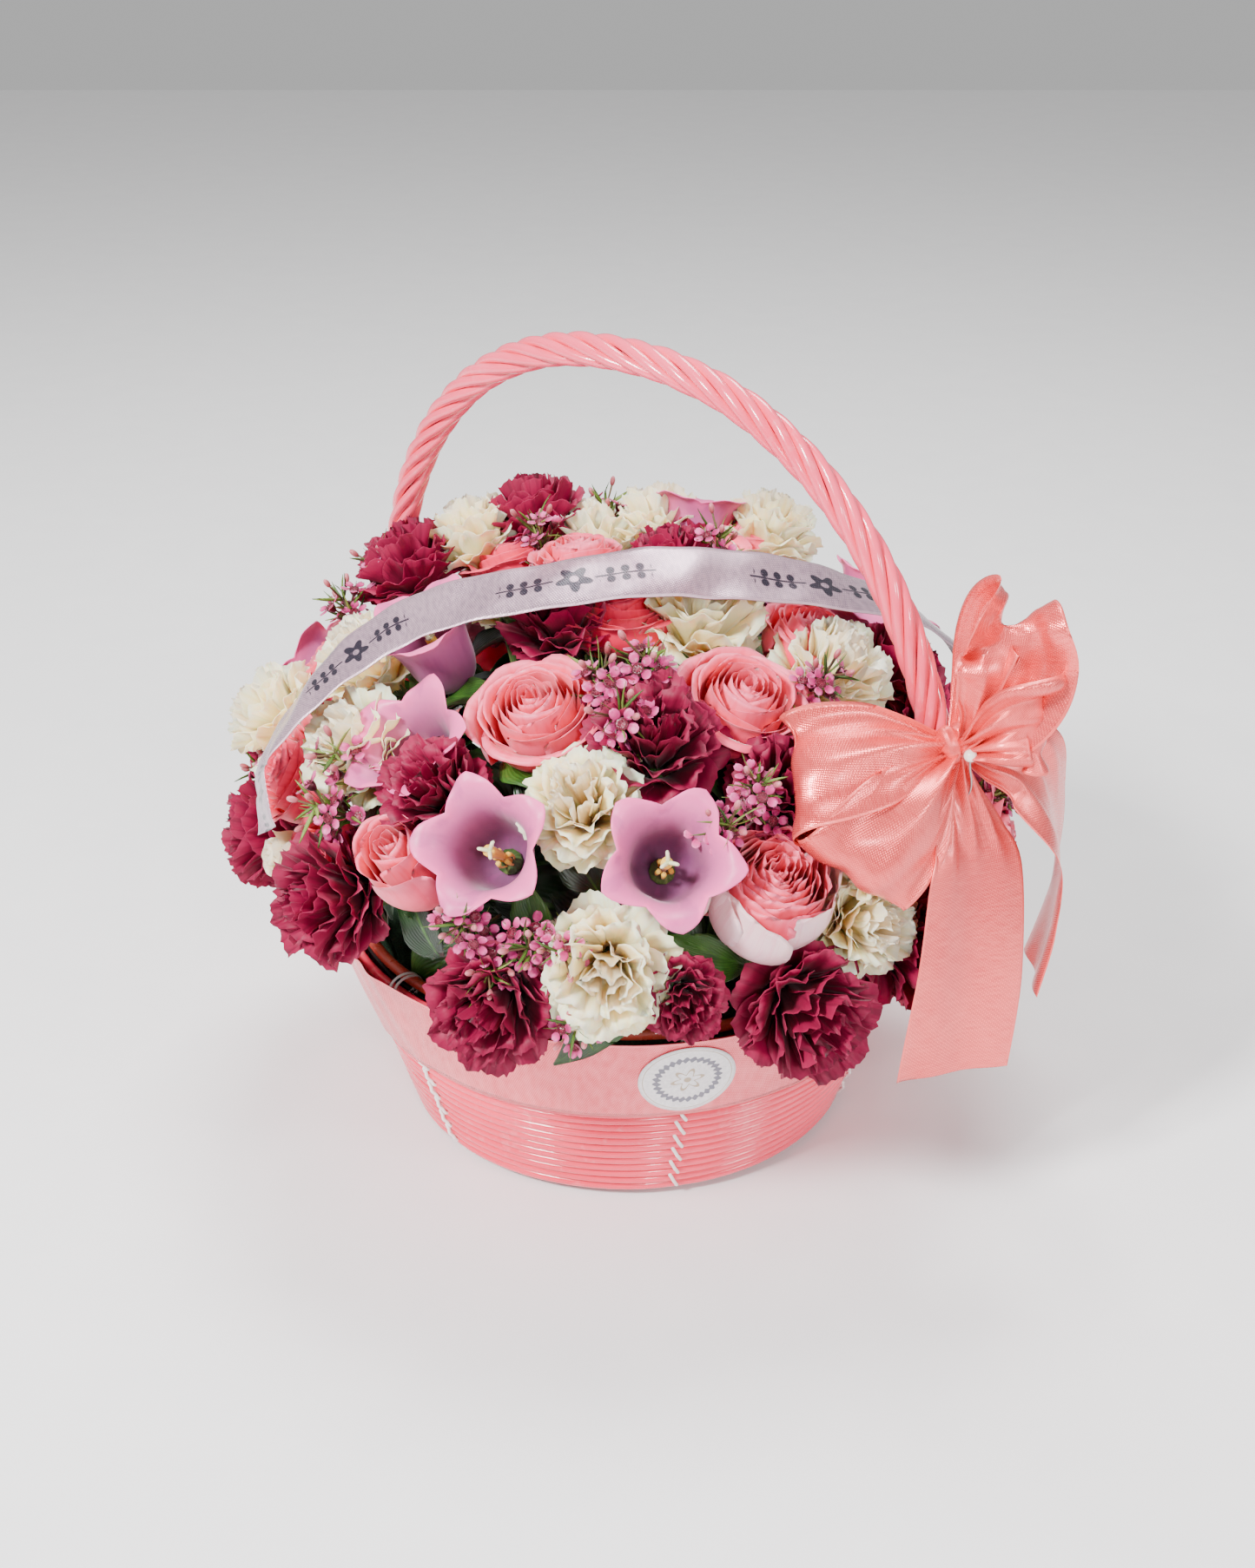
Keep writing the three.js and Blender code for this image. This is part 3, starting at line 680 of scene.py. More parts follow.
def makeStitches():
    for line in range(stitch["lines"]):
        middle = stitch["start"] + fullTurn * line / stitch["lines"]
        draws = random.Random(40 + line)
        bm = newMesh()
        for i in range(stitch["count"]):
            centre = stitch["first"] + stitch["coils"] * wall["rise"] * (i + 0.5)
            reach = wall["rise"] * stitch["coils"] * 0.52
            turn = middle + math.radians(draws.uniform(-0.25, 0.25))
            points = []
            for k in range(11):
                share = k / 10 * 2 - 1
                z = centre - reach * share
                bulge = stitch["standOff"] + stitch["bulge"] * math.cos(share * fullTurn)
                sink = stitch["sink"] * soft(abs(share), 0.72, 1)
                radius = wallOutside(z) + bulge - sink
                points.append(around(turn + stitch["slant"] * share, radius, z))
            tube(bm, points, stitch["width"], 8, draws.random())
        rimLoops(bm, middle, draws)
        name = f"stitchLine{line + 1}"
        toPiece(bm, name, [stitchPlastic], [f"stitch_line_{line + 1}"])


def rimLoops(bm, middle, draws):
    # turns of the cord over the rim hoop and the wall's top
    (reach, height), (out, up) = stitch["rimReach"], stitch["rimShift"]
    for k in range(stitch["rimTurns"]):
        turn = middle + stitch["rimGap"] * (k - 0.5)
        lean = math.radians(draws.uniform(0.4, 0.9))
        points = []
        for step in range(25):
            angle = fullTurn * step / 24
            radius = rimHoop["radius"] + out + reach * math.cos(angle)
            z = rimHoop["height"] + up + height * math.sin(angle)
            points.append(around(turn + lean * math.sin(angle / 2), radius, z))
        tube(bm, points, stitch["rimWidth"], 7, draws.random())


rimHoop = {
    "tube": 5 * mm, "height": 97.5 * mm, "radius": 119.76 * mm, "wave": 0.25 * mm, "steps": 160,
}


def makeRimHoop():
    def place(u, v):
        turn, ring = u * fullTurn, v * fullTurn
        wave = rimHoop["wave"] * noise.noise(Vector((math.cos(turn) * 3, math.sin(turn) * 3, 2)))
        size = rimHoop["tube"] / 2
        radius = rimHoop["radius"] + wave + size * math.cos(ring)
        return around(turn, radius, rimHoop["height"] + wave + size * math.sin(ring))

    bm = newMesh()
    patch(bm, rimHoop["steps"], 14, place, closed=True)
    toPiece(bm, "rimHoop", [rimPlastic], ["rim_hoop"])


makeWall()
makeStitches()
makeRimHoop()
print("wall, stitches and rim hoop made")

# satin band and sticker
band = {
    "width": 46 * mm,
    "top": 100.5 * mm,
    "standOff": 1.9 * mm,
    "lap": math.radians(7),
    "length": 0.803,
    "thick": 0.3 * mm,
    "lapStep": 0.9 * mm,
    "wave": 0.7 * mm,
    "edgeWave": 0.5 * mm,
    "grid": (16, 420),
    "puckers": [  # degrees from the front, depth in millimetres and width in degrees
        (-66, 1.6, 5), (-58, 1.2, 4), (-50, 1.8, 5), (33, 1.4, 4), (39, 1.0, 3), (56, 1.7, 6),
        (66, 1.2, 4), (94, 1.5, 6), (131, 1.1, 5), (-96, 1.4, 6), (-128, 1.3, 5), (-160, 1.0, 6),
    ],
    "puckerSkew": 7,
}


def bandPlace(turn, share, lift=0.0):
    # share goes from the lower edge to the upper one
    z = band["top"] - band["width"] * math.cos(wall["flare"]) * (1 - share)
    degrees = math.degrees(turn)
    wave = band["wave"] * noise.noise(polar(2.4, turn, share * 1.2))
    for centre, depth, width in band["puckers"]:
        skew = (degrees + (share - 0.5) * band["puckerSkew"] - centre + 180) % 360 - 180
        wave += depth * mm * math.exp(-((skew / width * 1.6) ** 2)) * (0.35 + 0.65 * share)
    edge = band["edgeWave"] * noise.noise(polar(5, turn, 9))
    radius = wallOutside(z) + band["standOff"] + max(wave, 0) + lift
    return around(turn, radius, z + edge * abs(share - 0.5) * 2)


def makeBand():
    start = math.pi - band["lap"] / 2
    sweep = fullTurn + band["lap"]
    light, deep = tone(255, 124, 132), tone(228, 78, 92)
    bandSatin = satin("bandSatin", light, deep, band["width"], band["length"])

    def place(u, v):
        return bandPlace(start + sweep * v, u, band["lapStep"] * soft(v, 0.965, 0.99))

    bm = newMesh()
    patch(bm, *band["grid"], place, thick=band["thick"])
    piece = toPiece(bm, "satinBand", [bandSatin.material], ["rim_band"])
    return piece


sticker = {
    "radius": 20 * mm, "turn": math.radians(11), "height": 78 * mm,
    "standOff": 0.75 * mm, "thick": 0.25 * mm,
}


def makeSticker():
    middle = wallOutside(sticker["height"]) + band["standOff"]

    def place(u, v):
        reach = sticker["radius"] * v
        side, up = reach * math.sin(u * fullTurn), reach * math.cos(u * fullTurn)
        turn = sticker["turn"] + side / middle
        return bandPlace(turn, 0.5 + up / band["width"], sticker["standOff"])

    bm = newMesh()
    patch(bm, 72, 10, place, thick=sticker["thick"], closed=True)
    paper = makeStickerPaper(sticker["radius"])
    toPiece(bm, "roundSticker", [paper], ["round_sticker"])


makeBand()
makeSticker()
print("band and sticker made")

# twisted handle
handle = {  # in millimetres, foot and neck as distance from the middle and height
    "turn": math.radians(-38.5),
    "lean": math.tan(math.radians(5.4)),
    "leanLevel": 220,
    "halfSpan": 147,
    "shift": 7.7,
    "widest": 155,
    "rise": 182,
    "fullness": 0.92,
    "foot": (92.3, 30),
    "neck": (108.5, 100),
    "curveStart": 22,
    "curveEnd": 28,
    "strands": 6,
    "strand": 4.35,
    "ring": 4.5,
    "lay": 85,
    "spacing": 2.4,
    "legSteps": 60,
    "archSteps": 600,
    "drift": 0.09,
    "loose": 0.22,
}


def handlePoint(across, z):
    return Vector((across, -handle["lean"] * (z - handle["leanLevel"]), z))


def legLine(side, count):
    foot, neck = Vector(handle["foot"]), Vector(handle["neck"])
    slope = (neck - foot).normalized()
    widest = Vector((handle["halfSpan"] + side * handle["shift"], handle["widest"]))
    first = neck + slope * handle["curveStart"]
    second = widest - Vector((0, handle["curveEnd"]))
    made = [foot.lerp(neck, i / count) for i in range(count)]
    for i in range(count):
        t = i / count
        a, b, c, d = (1 - t) ** 3, 3 * t * (1 - t) ** 2, 3 * t * t * (1 - t), t ** 3
        made.append(neck * a + first * b + second * c + widest * d)
    return [handlePoint(side * p.x, p.y) for p in made]


def handleLine(spacing):
    left, right = (legLine(side, handle["legSteps"]) for side in (-1, 1))
    arch = []
    for i in range(handle["archSteps"] + 1):
        angle = math.pi * (1 - i / handle["archSteps"])
        sideways = math.copysign(abs(math.cos(angle)) ** handle["fullness"], math.cos(angle))
        up = max(math.sin(angle), 0) ** handle["fullness"]
        across = handle["shift"] + handle["halfSpan"] * sideways
        arch.append(handlePoint(across, handle["widest"] + handle["rise"] * up))
    dense = left + arch + right[::-1]
    even, left = [dense[0]], 0.0
    for a, b in zip(dense, dense[1:]):
        gap = (b - a).length
        while left + spacing <= gap:
            left += spacing
            even.append(a.lerp(b, left / gap))
        left -= gap
    return even


def makeHandle():
    spacing = handle["spacing"]
    centre = handleLine(spacing)
    away = Vector((0, 1, handle["lean"])).normalized()
    swing = spun(handle["turn"])
    for strand in range(handle["strands"]):
        points = []
        for i, point in enumerate(centre):
            ahead = (centre[min(i + 1, len(centre) - 1)] - centre[max(i - 1, 0)]).normalized()
            outwards = ahead.cross(away).normalized()
            angle = fullTurn * (strand / handle["strands"] - i * spacing / handle["lay"])
            along = i * spacing
            angle += handle["drift"] * noise.noise(Vector((along / 60, strand * 3.1, 0)))
            reach = handle["loose"] * noise.noise(Vector((along / 45, strand * 5.7, 3)))
            reach += handle["ring"]
            spoke = outwards * math.cos(angle) + away * math.sin(angle)
            points.append(swing @ (point + spoke * reach) * mm)
        bm = newMesh()
        tube(bm, points, handle["strand"] / 2 * mm, 12, strand / handle["strands"])
        name = f"handleStrand{strand + 1}"
        toPiece(bm, name, [handlePlastic], [f"handle_strand_{strand + 1}"])


makeHandle()
print("handle made")

# ribbons
# a station holds the middle, the direction of the width and the share of the width that is
# open; a loop has one direction, beside its stations; a fold is depth, waves, drift and start
longRibbon = {
    "width": 25,
    "length": 0.403,
    "rows": 240,
    "stations": [
        (-144, -76, 166, 0.35, -0.66, 0.6, 1), (-147, -68, 179, 0.32, -0.84, 0.42, 1),
        (-146, -59, 188, 0.28, -0.92, 0.25, 1), (-136, -54, 203, 0.25, -0.93, 0.07, 1),
        (-122, -50, 218, 0.25, -0.94, -0.05, 1), (-105, -45, 231, 0.28, -0.93, -0.17, 1),
        (-87, -42, 242, 0.25, -0.92, -0.25, 1), (-66, -44, 250, 0.15, -0.91, -0.36, 1),
        (-42, -46, 256, 0.1, -0.9, -0.42, 1), (-15, -45, 260, 0.03, -0.9, -0.44, 1),
        (12, -42, 262, 0, -0.9, -0.44, 1), (34, -38, 260, 0.06, -0.9, -0.43, 1),
        (60, -32, 255, 0.15, -0.89, -0.43, 1), (86, -22, 247, 0.25, -0.87, -0.4, 1),
        (110, -6, 234, 0.38, -0.87, -0.3, 1), (130, 6, 218, 0.4, -0.88, -0.2, 1),
        (143, 10, 202, 0.3, -0.93, 0, 1), (152, 8, 182, 0.15, -0.96, 0.1, 1),
    ],
    "folds": [(0.8, 0.5, 3.0, 0.4), (0.4, 1.0, 7.0, 2.0), (0.3, 0.5, 17.0, 1.0)],
}
bow = {
    "middle": Vector((122.7, -103.0, 216.0)),
    "turn": math.radians(30),
    "width": 50,
    "satinRun": 0.14,
    "pleats": 3.5,
    "gather": (3.1, 1.2),
    "pieces": {
        "bowLoopLeft": {
            "node": "bow_loop_left", "length": 0.13, "rows": 110,
            "across": (0.73, -0.06, -0.69),
            "stations": [
                (-1.9, -0.6, -1.8, 0.16), (-4.7, -6.6, -3.9, 0.3), (-9.8, -14.8, -8.1, 0.55),
                (-17.5, -24.2, -14.8, 0.84), (-27.9, -32.6, -24.2, 0.98),
                (-35.9, -36.5, -31.8, 1), (-40, -34.6, -36.1, 1), (-39.9, -28.7, -36.6, 1),
                (-33.6, -19.5, -31.4, 0.98), (-22.1, -11.2, -20.9, 0.8),
                (-11.1, -5.6, -10.4, 0.45), (-2.9, -0.9, -2.7, 0.18),
            ],
            "folds": [(3.4, 0.8, 0.6, 0.6), (1.9, 1.6, -0.7, 2.1), (0.4, 3.2, 1.4, 1)],
        },
        "bowLoopLeftBack": {
            "node": None, "length": 0.128, "rows": 110,
            "across": (0.16, -0.77, -0.6),
            "stations": [
                (-2.6, 0, -0.9, 0.16), (-8, -3.2, 1.1, 0.3), (-17.1, -7.3, 3, 0.55),
                (-29.9, -11.7, 3.8, 0.84), (-45.7, -15.1, 2.3, 0.98), (-57, -16.1, -0.6, 1),
                (-61.6, -14.2, -4.6, 1), (-59.5, -10.6, -8.3, 1), (-48.7, -6.1, -10, 0.98),
                (-31.5, -3, -7.7, 0.8), (-15.8, -1.5, -3.8, 0.45), (-3.9, -0.1, -1.3, 0.18),
            ],
            "folds": [(3.2, 0.9, -0.6, 1.9), (1.8, 1.7, 0.6, 0.4), (0.4, 3.1, -1.2, 2.6)],
        },
        "bowLoopRight": {
            "node": "bow_loop_right", "length": 0.13, "rows": 110,
            "stations": [
                (1, 1, 2, 0.6, -0.7, 0, 0.16), (3, 3, 9, 0.58, -0.7, 0, 0.3),
                (6, 5, 22, 0.6, -0.7, 0, 0.52), (8, 6, 36, 0.62, -0.66, -0.05, 0.62),
                (10, 5, 46, 0.62, -0.62, -0.15, 0.64), (13, 2, 49, 0.62, -0.58, -0.28, 0.7),
                (16, -2, 46, 0.64, -0.5, -0.42, 0.8), (18, -5, 37, 0.66, -0.4, -0.56, 0.88),
                (17, -8, 26, 0.64, -0.28, -0.68, 0.84), (12, -8, 13, 0.56, -0.2, -0.78, 0.66),
                (6, -6, 5, 0.5, -0.15, -0.85, 0.34), (2, -4, 1, 0.5, -0.1, -0.85, 0.16),
            ],
            "folds": [(2.8, 0.8, 0.6, 1.4), (1.6, 1.6, -0.7, 0.3), (0.4, 3.1, 1.2, 2)],
        },
        "bowLoopRightFront": {
            "node": None, "length": 0.066, "rows": 80,
            "across": (-0.2, 0.1, -0.97),
            "stations": [
                (3, -4, 2, 0.16), (7, -8, 6, 0.3), (14, -13, 12, 0.55), (22, -15, 16, 0.75),
                (28, -12, 16, 0.8), (28, -7, 14, 0.8), (22, -4, 11, 0.75), (12, -2, 6, 0.45),
                (4, -2, 2, 0.18),
            ],
            "folds": [(1.8, 1.2, 0.8, 0.2), (1.4, 2.4, -1.2, 1.8), (0.8, 3.3, 1.6, 0.9)],
        },
        "bowTailFront": {
            "node": "bow_tail_front", "length": 0.13, "rows": 90,
            "stations": [
                (0, -3, -3, 0.9, 0.4, 0, 0.16), (2, -7, -15, 0.86, 0.4, -0.1, 0.4),
                (6, -13, -30, 0.85, 0.44, -0.15, 0.72), (9, -18, -46, 0.84, 0.45, -0.2, 0.95),
                (9, -25, -86, 0.84, 0.4, -0.35, 1), (6, -27, -130, 0.84, 0.4, -0.42, 1),
            ],
            "folds": [(1.5, 0.6, 0.9, 0.2), (0.8, 1.6, -0.7, 1.4)],
        },
        "bowTailBack": {
            "node": "bow_tail_back", "length": 0.13, "rows": 90,
            "stations": [
                (4, 3, -3, 0.6, 0.4, 0.6, 0.16), (15, 8, -7, 0.6, 0.4, 0.6, 0.4),
                (33, 13, -15, 0.5, 0.6, 0.6, 0.75), (47, 17, -44, 0.2, 0.98, 0, 1),
                (48, 17, -78, 0.1, 0.98, 0, 1), (42, 13, -108, 0.1, 0.98, 0, 1),
            ],
            "folds": [(1.4, 0.7, 1, 0.9), (0.8, 1.5, -0.9, 0.4)],
        },
    },
}


def ribbonRows(plan):
    made, count, stations = [], plan["rows"], plan["stations"]
    if "across" in plan:
        stations = [station[:3] + plan["across"] + station[3:] for station in stations]
    values = curveThrough(stations, count)
    for i, value in enumerate(values):
        before, after = values[max(i - 1, 0)], values[min(i + 1, count)]
        ahead = (Vector(after[:3]) - Vector(before[:3])).normalized()
        across = Vector(value[3:6])
        across = (across - ahead * across.dot(ahead)).normalized()
        made.append((Vector(value[:3]), across, ahead.cross(across), value[6]))
    return made


def ribbon(bm, plan, width, origin, columns=28, thick=0.35):
    rows = ribbonRows(plan)
    coarse, fine = bow["gather"]

    def place(u, v):
        centre, across, up, spread = rows[round(v * plan["rows"])]
        off = 0.0
        for depth, waves, drift, start in plan["folds"]:
            off += depth * math.sin(fullTurn * (waves * (u - 0.5) + drift * v) + start)
        gathered = 1 - min(spread, 1)
        off *= 1 - 0.6 * gathered
        off += coarse * gathered * math.sin(fullTurn * bow["pleats"] * (u - 0.5) + 1.1)
        off += fine * gathered * math.sin(fullTurn * bow["pleats"] * 2.1 * (u - 0.5) + 0.3)
        curl = 0.5 * (abs(2 * u - 1) ** 6)
        return (origin + centre + across * ((u - 0.5) * width * spread) + up * (off + curl)) * mm

    patch(bm, columns, plan["rows"], place, thick=thick * mm)


def makeRibbons():
    plan = longRibbon
    bm = newMesh()
    ribbon(bm, plan, plan["width"], Vector(), 14)
    cloth = makePrintedSatin(plan["width"] * mm, plan["length"])
    piece = toPiece(bm, "printedRibbon", [cloth], ["printed_ribbon"])
    light, deep = tone(255, 104, 100), tone(216, 58, 62)
    bowSatin = satin("bowSatin", light, deep, bow["width"] * mm, bow["satinRun"])
    for name, plan in bow["pieces"].items():
        bm = newMesh()
        ribbon(bm, plan, bow["width"], bow["middle"])
        replaced = [plan["node"]] if plan["node"] else []
        piece = toPiece(bm, name, [bowSatin.material], replaced)
    makeKnot(bowSatin.material)


knot = {
    "half": (8.3, 6.1, 9.2),
    "lean": 1.6,
    "folds": (0.5, 0.3),
    "pearl": 2.5,
    "pearlOut": 8.6,
    "wire": 0.4,
    "wireLine": [(0, 0, -2), (0.4, -0.5, -6), (1.2, -0.4, -10), (1.4, 0.3, -14), (0.6, 0.8, -17)],
}


def makeKnot(cloth):
    # the ribbon wrapped across the middle, in folds, and a pearl on a wire
    swing = spun(bow["turn"])
    wide, deep, tall = knot["half"]
    coarse, fine = knot["folds"]
    bm = newMesh()

    def place(u, v):
        turn = u * fullTurn
        side = (v - 0.5) * 2
        pinch = 0.62 + 0.38 * math.sqrt(max(1 - side * side * 0.9, 0))
        fold = coarse * math.sin(side * 8.5 + 0.8 * math.sin(turn))
        fold += fine * math.sin(side * 15 + turn)
        shut = soft(1 - abs(side), 0, 0.16)
        lean = knot["lean"] * math.sin(turn * 2) * side
        local = Vector((
            wide * side + lean * 0.3,
            -(deep * pinch + fold) * math.cos(turn) * shut,
            (tall * pinch + fold) * math.sin(turn) * shut + lean,
        ))
        return (bow["middle"] + swing @ local) * mm

    patch(bm, 48, 36, place, closed=True)
    toPiece(bm, "bowKnot", [cloth], ["bow_knot"])
    front = swing @ Vector((0, -1, 0))
    centre = bow["middle"] + front * knot["pearlOut"]
    bm = newMesh()
    bmesh.ops.create_uvsphere(
        bm, u_segments=28, v_segments=18, radius=knot["pearl"] * mm,
        matrix=Matrix.Translation(centre * mm),
    )
    for face in bm.faces:
        face.smooth = True
    toPiece(bm, "bowPearl", [pearlGloss], ["pearl"])
    bm = newMesh()
    points = [(centre + Vector(p)) * mm for p in curveThrough(knot["wireLine"], 20)]
    tube(bm, points, knot["wire"] * mm, 8)
    toPiece(bm, "pearlWire", [wireSteel])


makeRibbons()
print("ribbons and bow made")

# flowers: each head is made once, round +Z with its middle at the origin, then copied
dome = {  # the shape the heads lie on, and where their stems meet below it
    "radius": 152, "rise": 112, "level": 124,
    "stemRing": 80, "stemFoot": 60, "neck": 27, "stem": 1.9,
}


def bezier(a, b, c, t):
    return a.lerp(b, t).lerp(b.lerp(c, t), t)


carnation = {
    "whorls": [  # petals, degrees from upright, reach and width
        (7, 98, 27, 29), (8, 82, 27.5, 28), (8, 65, 27.5, 26),
        (8, 48, 27, 24), (7, 31, 26, 21), (5, 14, 25, 17),
    ],
    "ruffle": 2.7,
    "teeth": (0.75, 0.5),
    "columns": 18,
    "thick": 0.25,
    "calyx": (5.5, -27, -14),
}


def carnationPetal(bm, draws, turn, lean, reach, width):
    spin = spun(turn)
    foot = Vector((1.5, 0, -21))
    tip = Vector((reach * math.sin(lean), 0, reach * math.cos(lean)))
    guide = Vector((3 + 6 * math.sin(lean), 0, -3 + 8 * math.cos(lean)))
    waves = draws.uniform(1.1, 1.9)
    starts = [draws.uniform(0, fullTurn) for _ in range(3)]
    depth = carnation["ruffle"] * draws.uniform(0.7, 1.2)
    slant = draws.uniform(-0.25, 0.25)
    last = carnation["columns"]
    tooth, uneven = carnation["teeth"]
    teeth = [tooth * (k % 2) + draws.uniform(-uneven, uneven) for k in range(last + 1)]

    def place(u, v):
        side = 2 * u - 1
        edge = 1 - 0.3 * side ** 4 - 0.06 * side * side
        t = v * edge
        middle = bezier(foot, guide, tip, t)
        before, after = (bezier(foot, guide, tip, at) for at in (t - 0.02, min(t + 0.02, 1.02)))
        ahead = (after - before).normalized()
        outwards = Vector((ahead.z, 0, -ahead.x))
        spread = width * (0.1 + 0.9 * soft(t, 0.12, 0.92)) / 2
        off = depth * t ** 2 * math.sin(fullTurn * waves * (u + slant * v) + starts[0])
        off += 0.42 * depth * t ** 4 * math.sin(fullTurn * waves * 2.6 * u + starts[1])
        off += 2.2 * side * side * math.sin(starts[2])
        end = (v > 0.97) * teeth[round(u * last)]
        bend = spread * side
        wrap = bend * bend / 40
        local = middle + Vector((-wrap, bend, 0)) + outwards * off + ahead * end
        return spin @ local * mm

    patch(bm, last, 6, place, draws.random(), thick=carnation["thick"] * mm)


def carnationHead(seed):
    draws = random.Random(seed)
    bm = newMesh()
    for row, (count, lean, reach, width) in enumerate(carnation["whorls"]):
        for i in range(count):
            turn = fullTurn * (i + 0.5 * row + draws.uniform(-0.22, 0.22)) / count
            angle = math.radians(lean + draws.uniform(-7, 7))
            carnationPetal(bm, draws, turn, angle, reach * draws.uniform(0.9, 1.06), width)
    calyx(bm, *carnation["calyx"])
    return keepTemplate(bm, f"carnationHead{seed}")


def calyx(bm, radius, low, high):
    points = [Vector((0, 0, low + (high - low) * i / 6)) * mm for i in range(7)]
    tube(bm, points, lambda t: (1.8 + (radius - 1.8) * soft(t, 0, 0.6)) * mm, 10, 0.4, 1)


def keepTemplate(bm, name):
    bmesh.ops.recalc_face_normals(bm, faces=bm.faces)
    return toMesh(bm, name)


roses = {  # petals past the share paleFrom, counted from the heart, are the pale ones
    "open": {
        "petals": 26, "radius": 24, "low": -20, "high": 15, "spread": 0.55, "curl": 5.5,
        "frill": 0.4, "paleFrom": 1,
    },
    "garden": {
        "petals": 34, "radius": 25, "low": -30, "high": 15, "spread": 0.05, "curl": 1.4,
        "frill": 1.1, "paleFrom": 0.8,
    },
    "bud": {
        "petals": 15, "radius": 18, "low": -24, "high": 19, "spread": 0.0, "curl": 2.4,
        "frill": 0.3, "paleFrom": 1,
    },
}


def rosePetal(bm, plan, draws, share, turn):
    radius = plan["radius"] * (0.1 + 0.9 * share ** 0.85)
    span = math.radians(200 - 105 * share)
    top = plan["high"] + (1 - share) * 2.5 - plan["spread"] * 8 * max(share - 0.45, 0)
    low = plan["low"] + 8 * (1 - share)
    curl = plan["curl"] * soft(share, 0.35, 1) * draws.uniform(0.7, 1.2)
    start = draws.uniform(0, fullTurn)
    tilt = draws.uniform(-1.2, 1.2)

    def place(u, v):
        side = 2 * u - 1
        t = v * (1 - (0.1 + 0.16 * share) * abs(side) ** 2.6)
        angle = turn + side * span / 2 * (0.35 + 0.65 * soft(t, 0, 0.62))
        swell = 0.24 + 0.76 * math.sin(min(t / 0.6, 1) * math.pi / 2) ** 0.9
        shut = 1 - (0.16 - 0.26 * plan["spread"] * share) * soft(t, 0.6, 1.0)
        reach = radius * swell * shut * (1 + 0.09 * side)
        roll = soft(t, 0.78, 1.0)
        reach += curl * roll
        z = low + (top - low) * t - curl * 0.9 * roll * roll
        frill = plan["frill"] * t ** 3 * math.sin(fullTurn * 1.5 * u + start)
        frill += plan["frill"] * 0.5 * t ** 5 * math.sin(fullTurn * 4 * u + start * 2)
        return polar(reach + frill, angle, z + (tilt * side * t + frill * 0.6)) * mm

    slot = 2 if share > plan["paleFrom"] else 0
    patch(bm, 14, 11, place, draws.random(), slot=slot, thick=0.3 * mm)


def roseHead(kind, seed):
    plan = roses[kind]
    draws = random.Random(seed)
    bm = newMesh()
    for i in range(plan["petals"]):
        share = i / (plan["petals"] - 1)
        rosePetal(bm, plan, draws, share, i * goldenTurn + draws.uniform(-0.15, 0.15))
    calyx(bm, 6.5, -27, plan["low"] + 5)
    sepals(bm, draws, plan["low"] + 1)
    return keepTemplate(bm, f"{kind}Rose{seed}")


def sepals(bm, draws, low):
    for i in range(5):
        spin = spun(fullTurn * i / 5 + draws.uniform(-0.2, 0.2))

        def place(u, v):
            side = 2 * u - 1
            half = 3.4 * math.sin(math.pi * min(0.25 + 0.75 * v, 1)) + 0.15
            reach = 4 + 11 * math.sin(v * 1.7)
            z = low + 12 * v * v - 3 * v
            return spin @ Vector((reach, half * side, z - abs(side) * 0.8)) * mm

        patch(bm, 4, 7, place, draws.random(), slot=1, thick=0.3 * mm)


bell = {
    "profile": [  # radius and height, from the stem to the mouth
        (4, -26), (12, -21), (15.5, -12), (17, -2), (19, 6), (22.5, 12), (27, 16), (31, 17),
    ],
    "samples": 28,
    "lobes": 5,
    "stamens": 5,
    "stigmas": 3,
    "grid": (80, 30),
    "thick": 0.45,
    "calyx": (6.0, -31, -22),
}


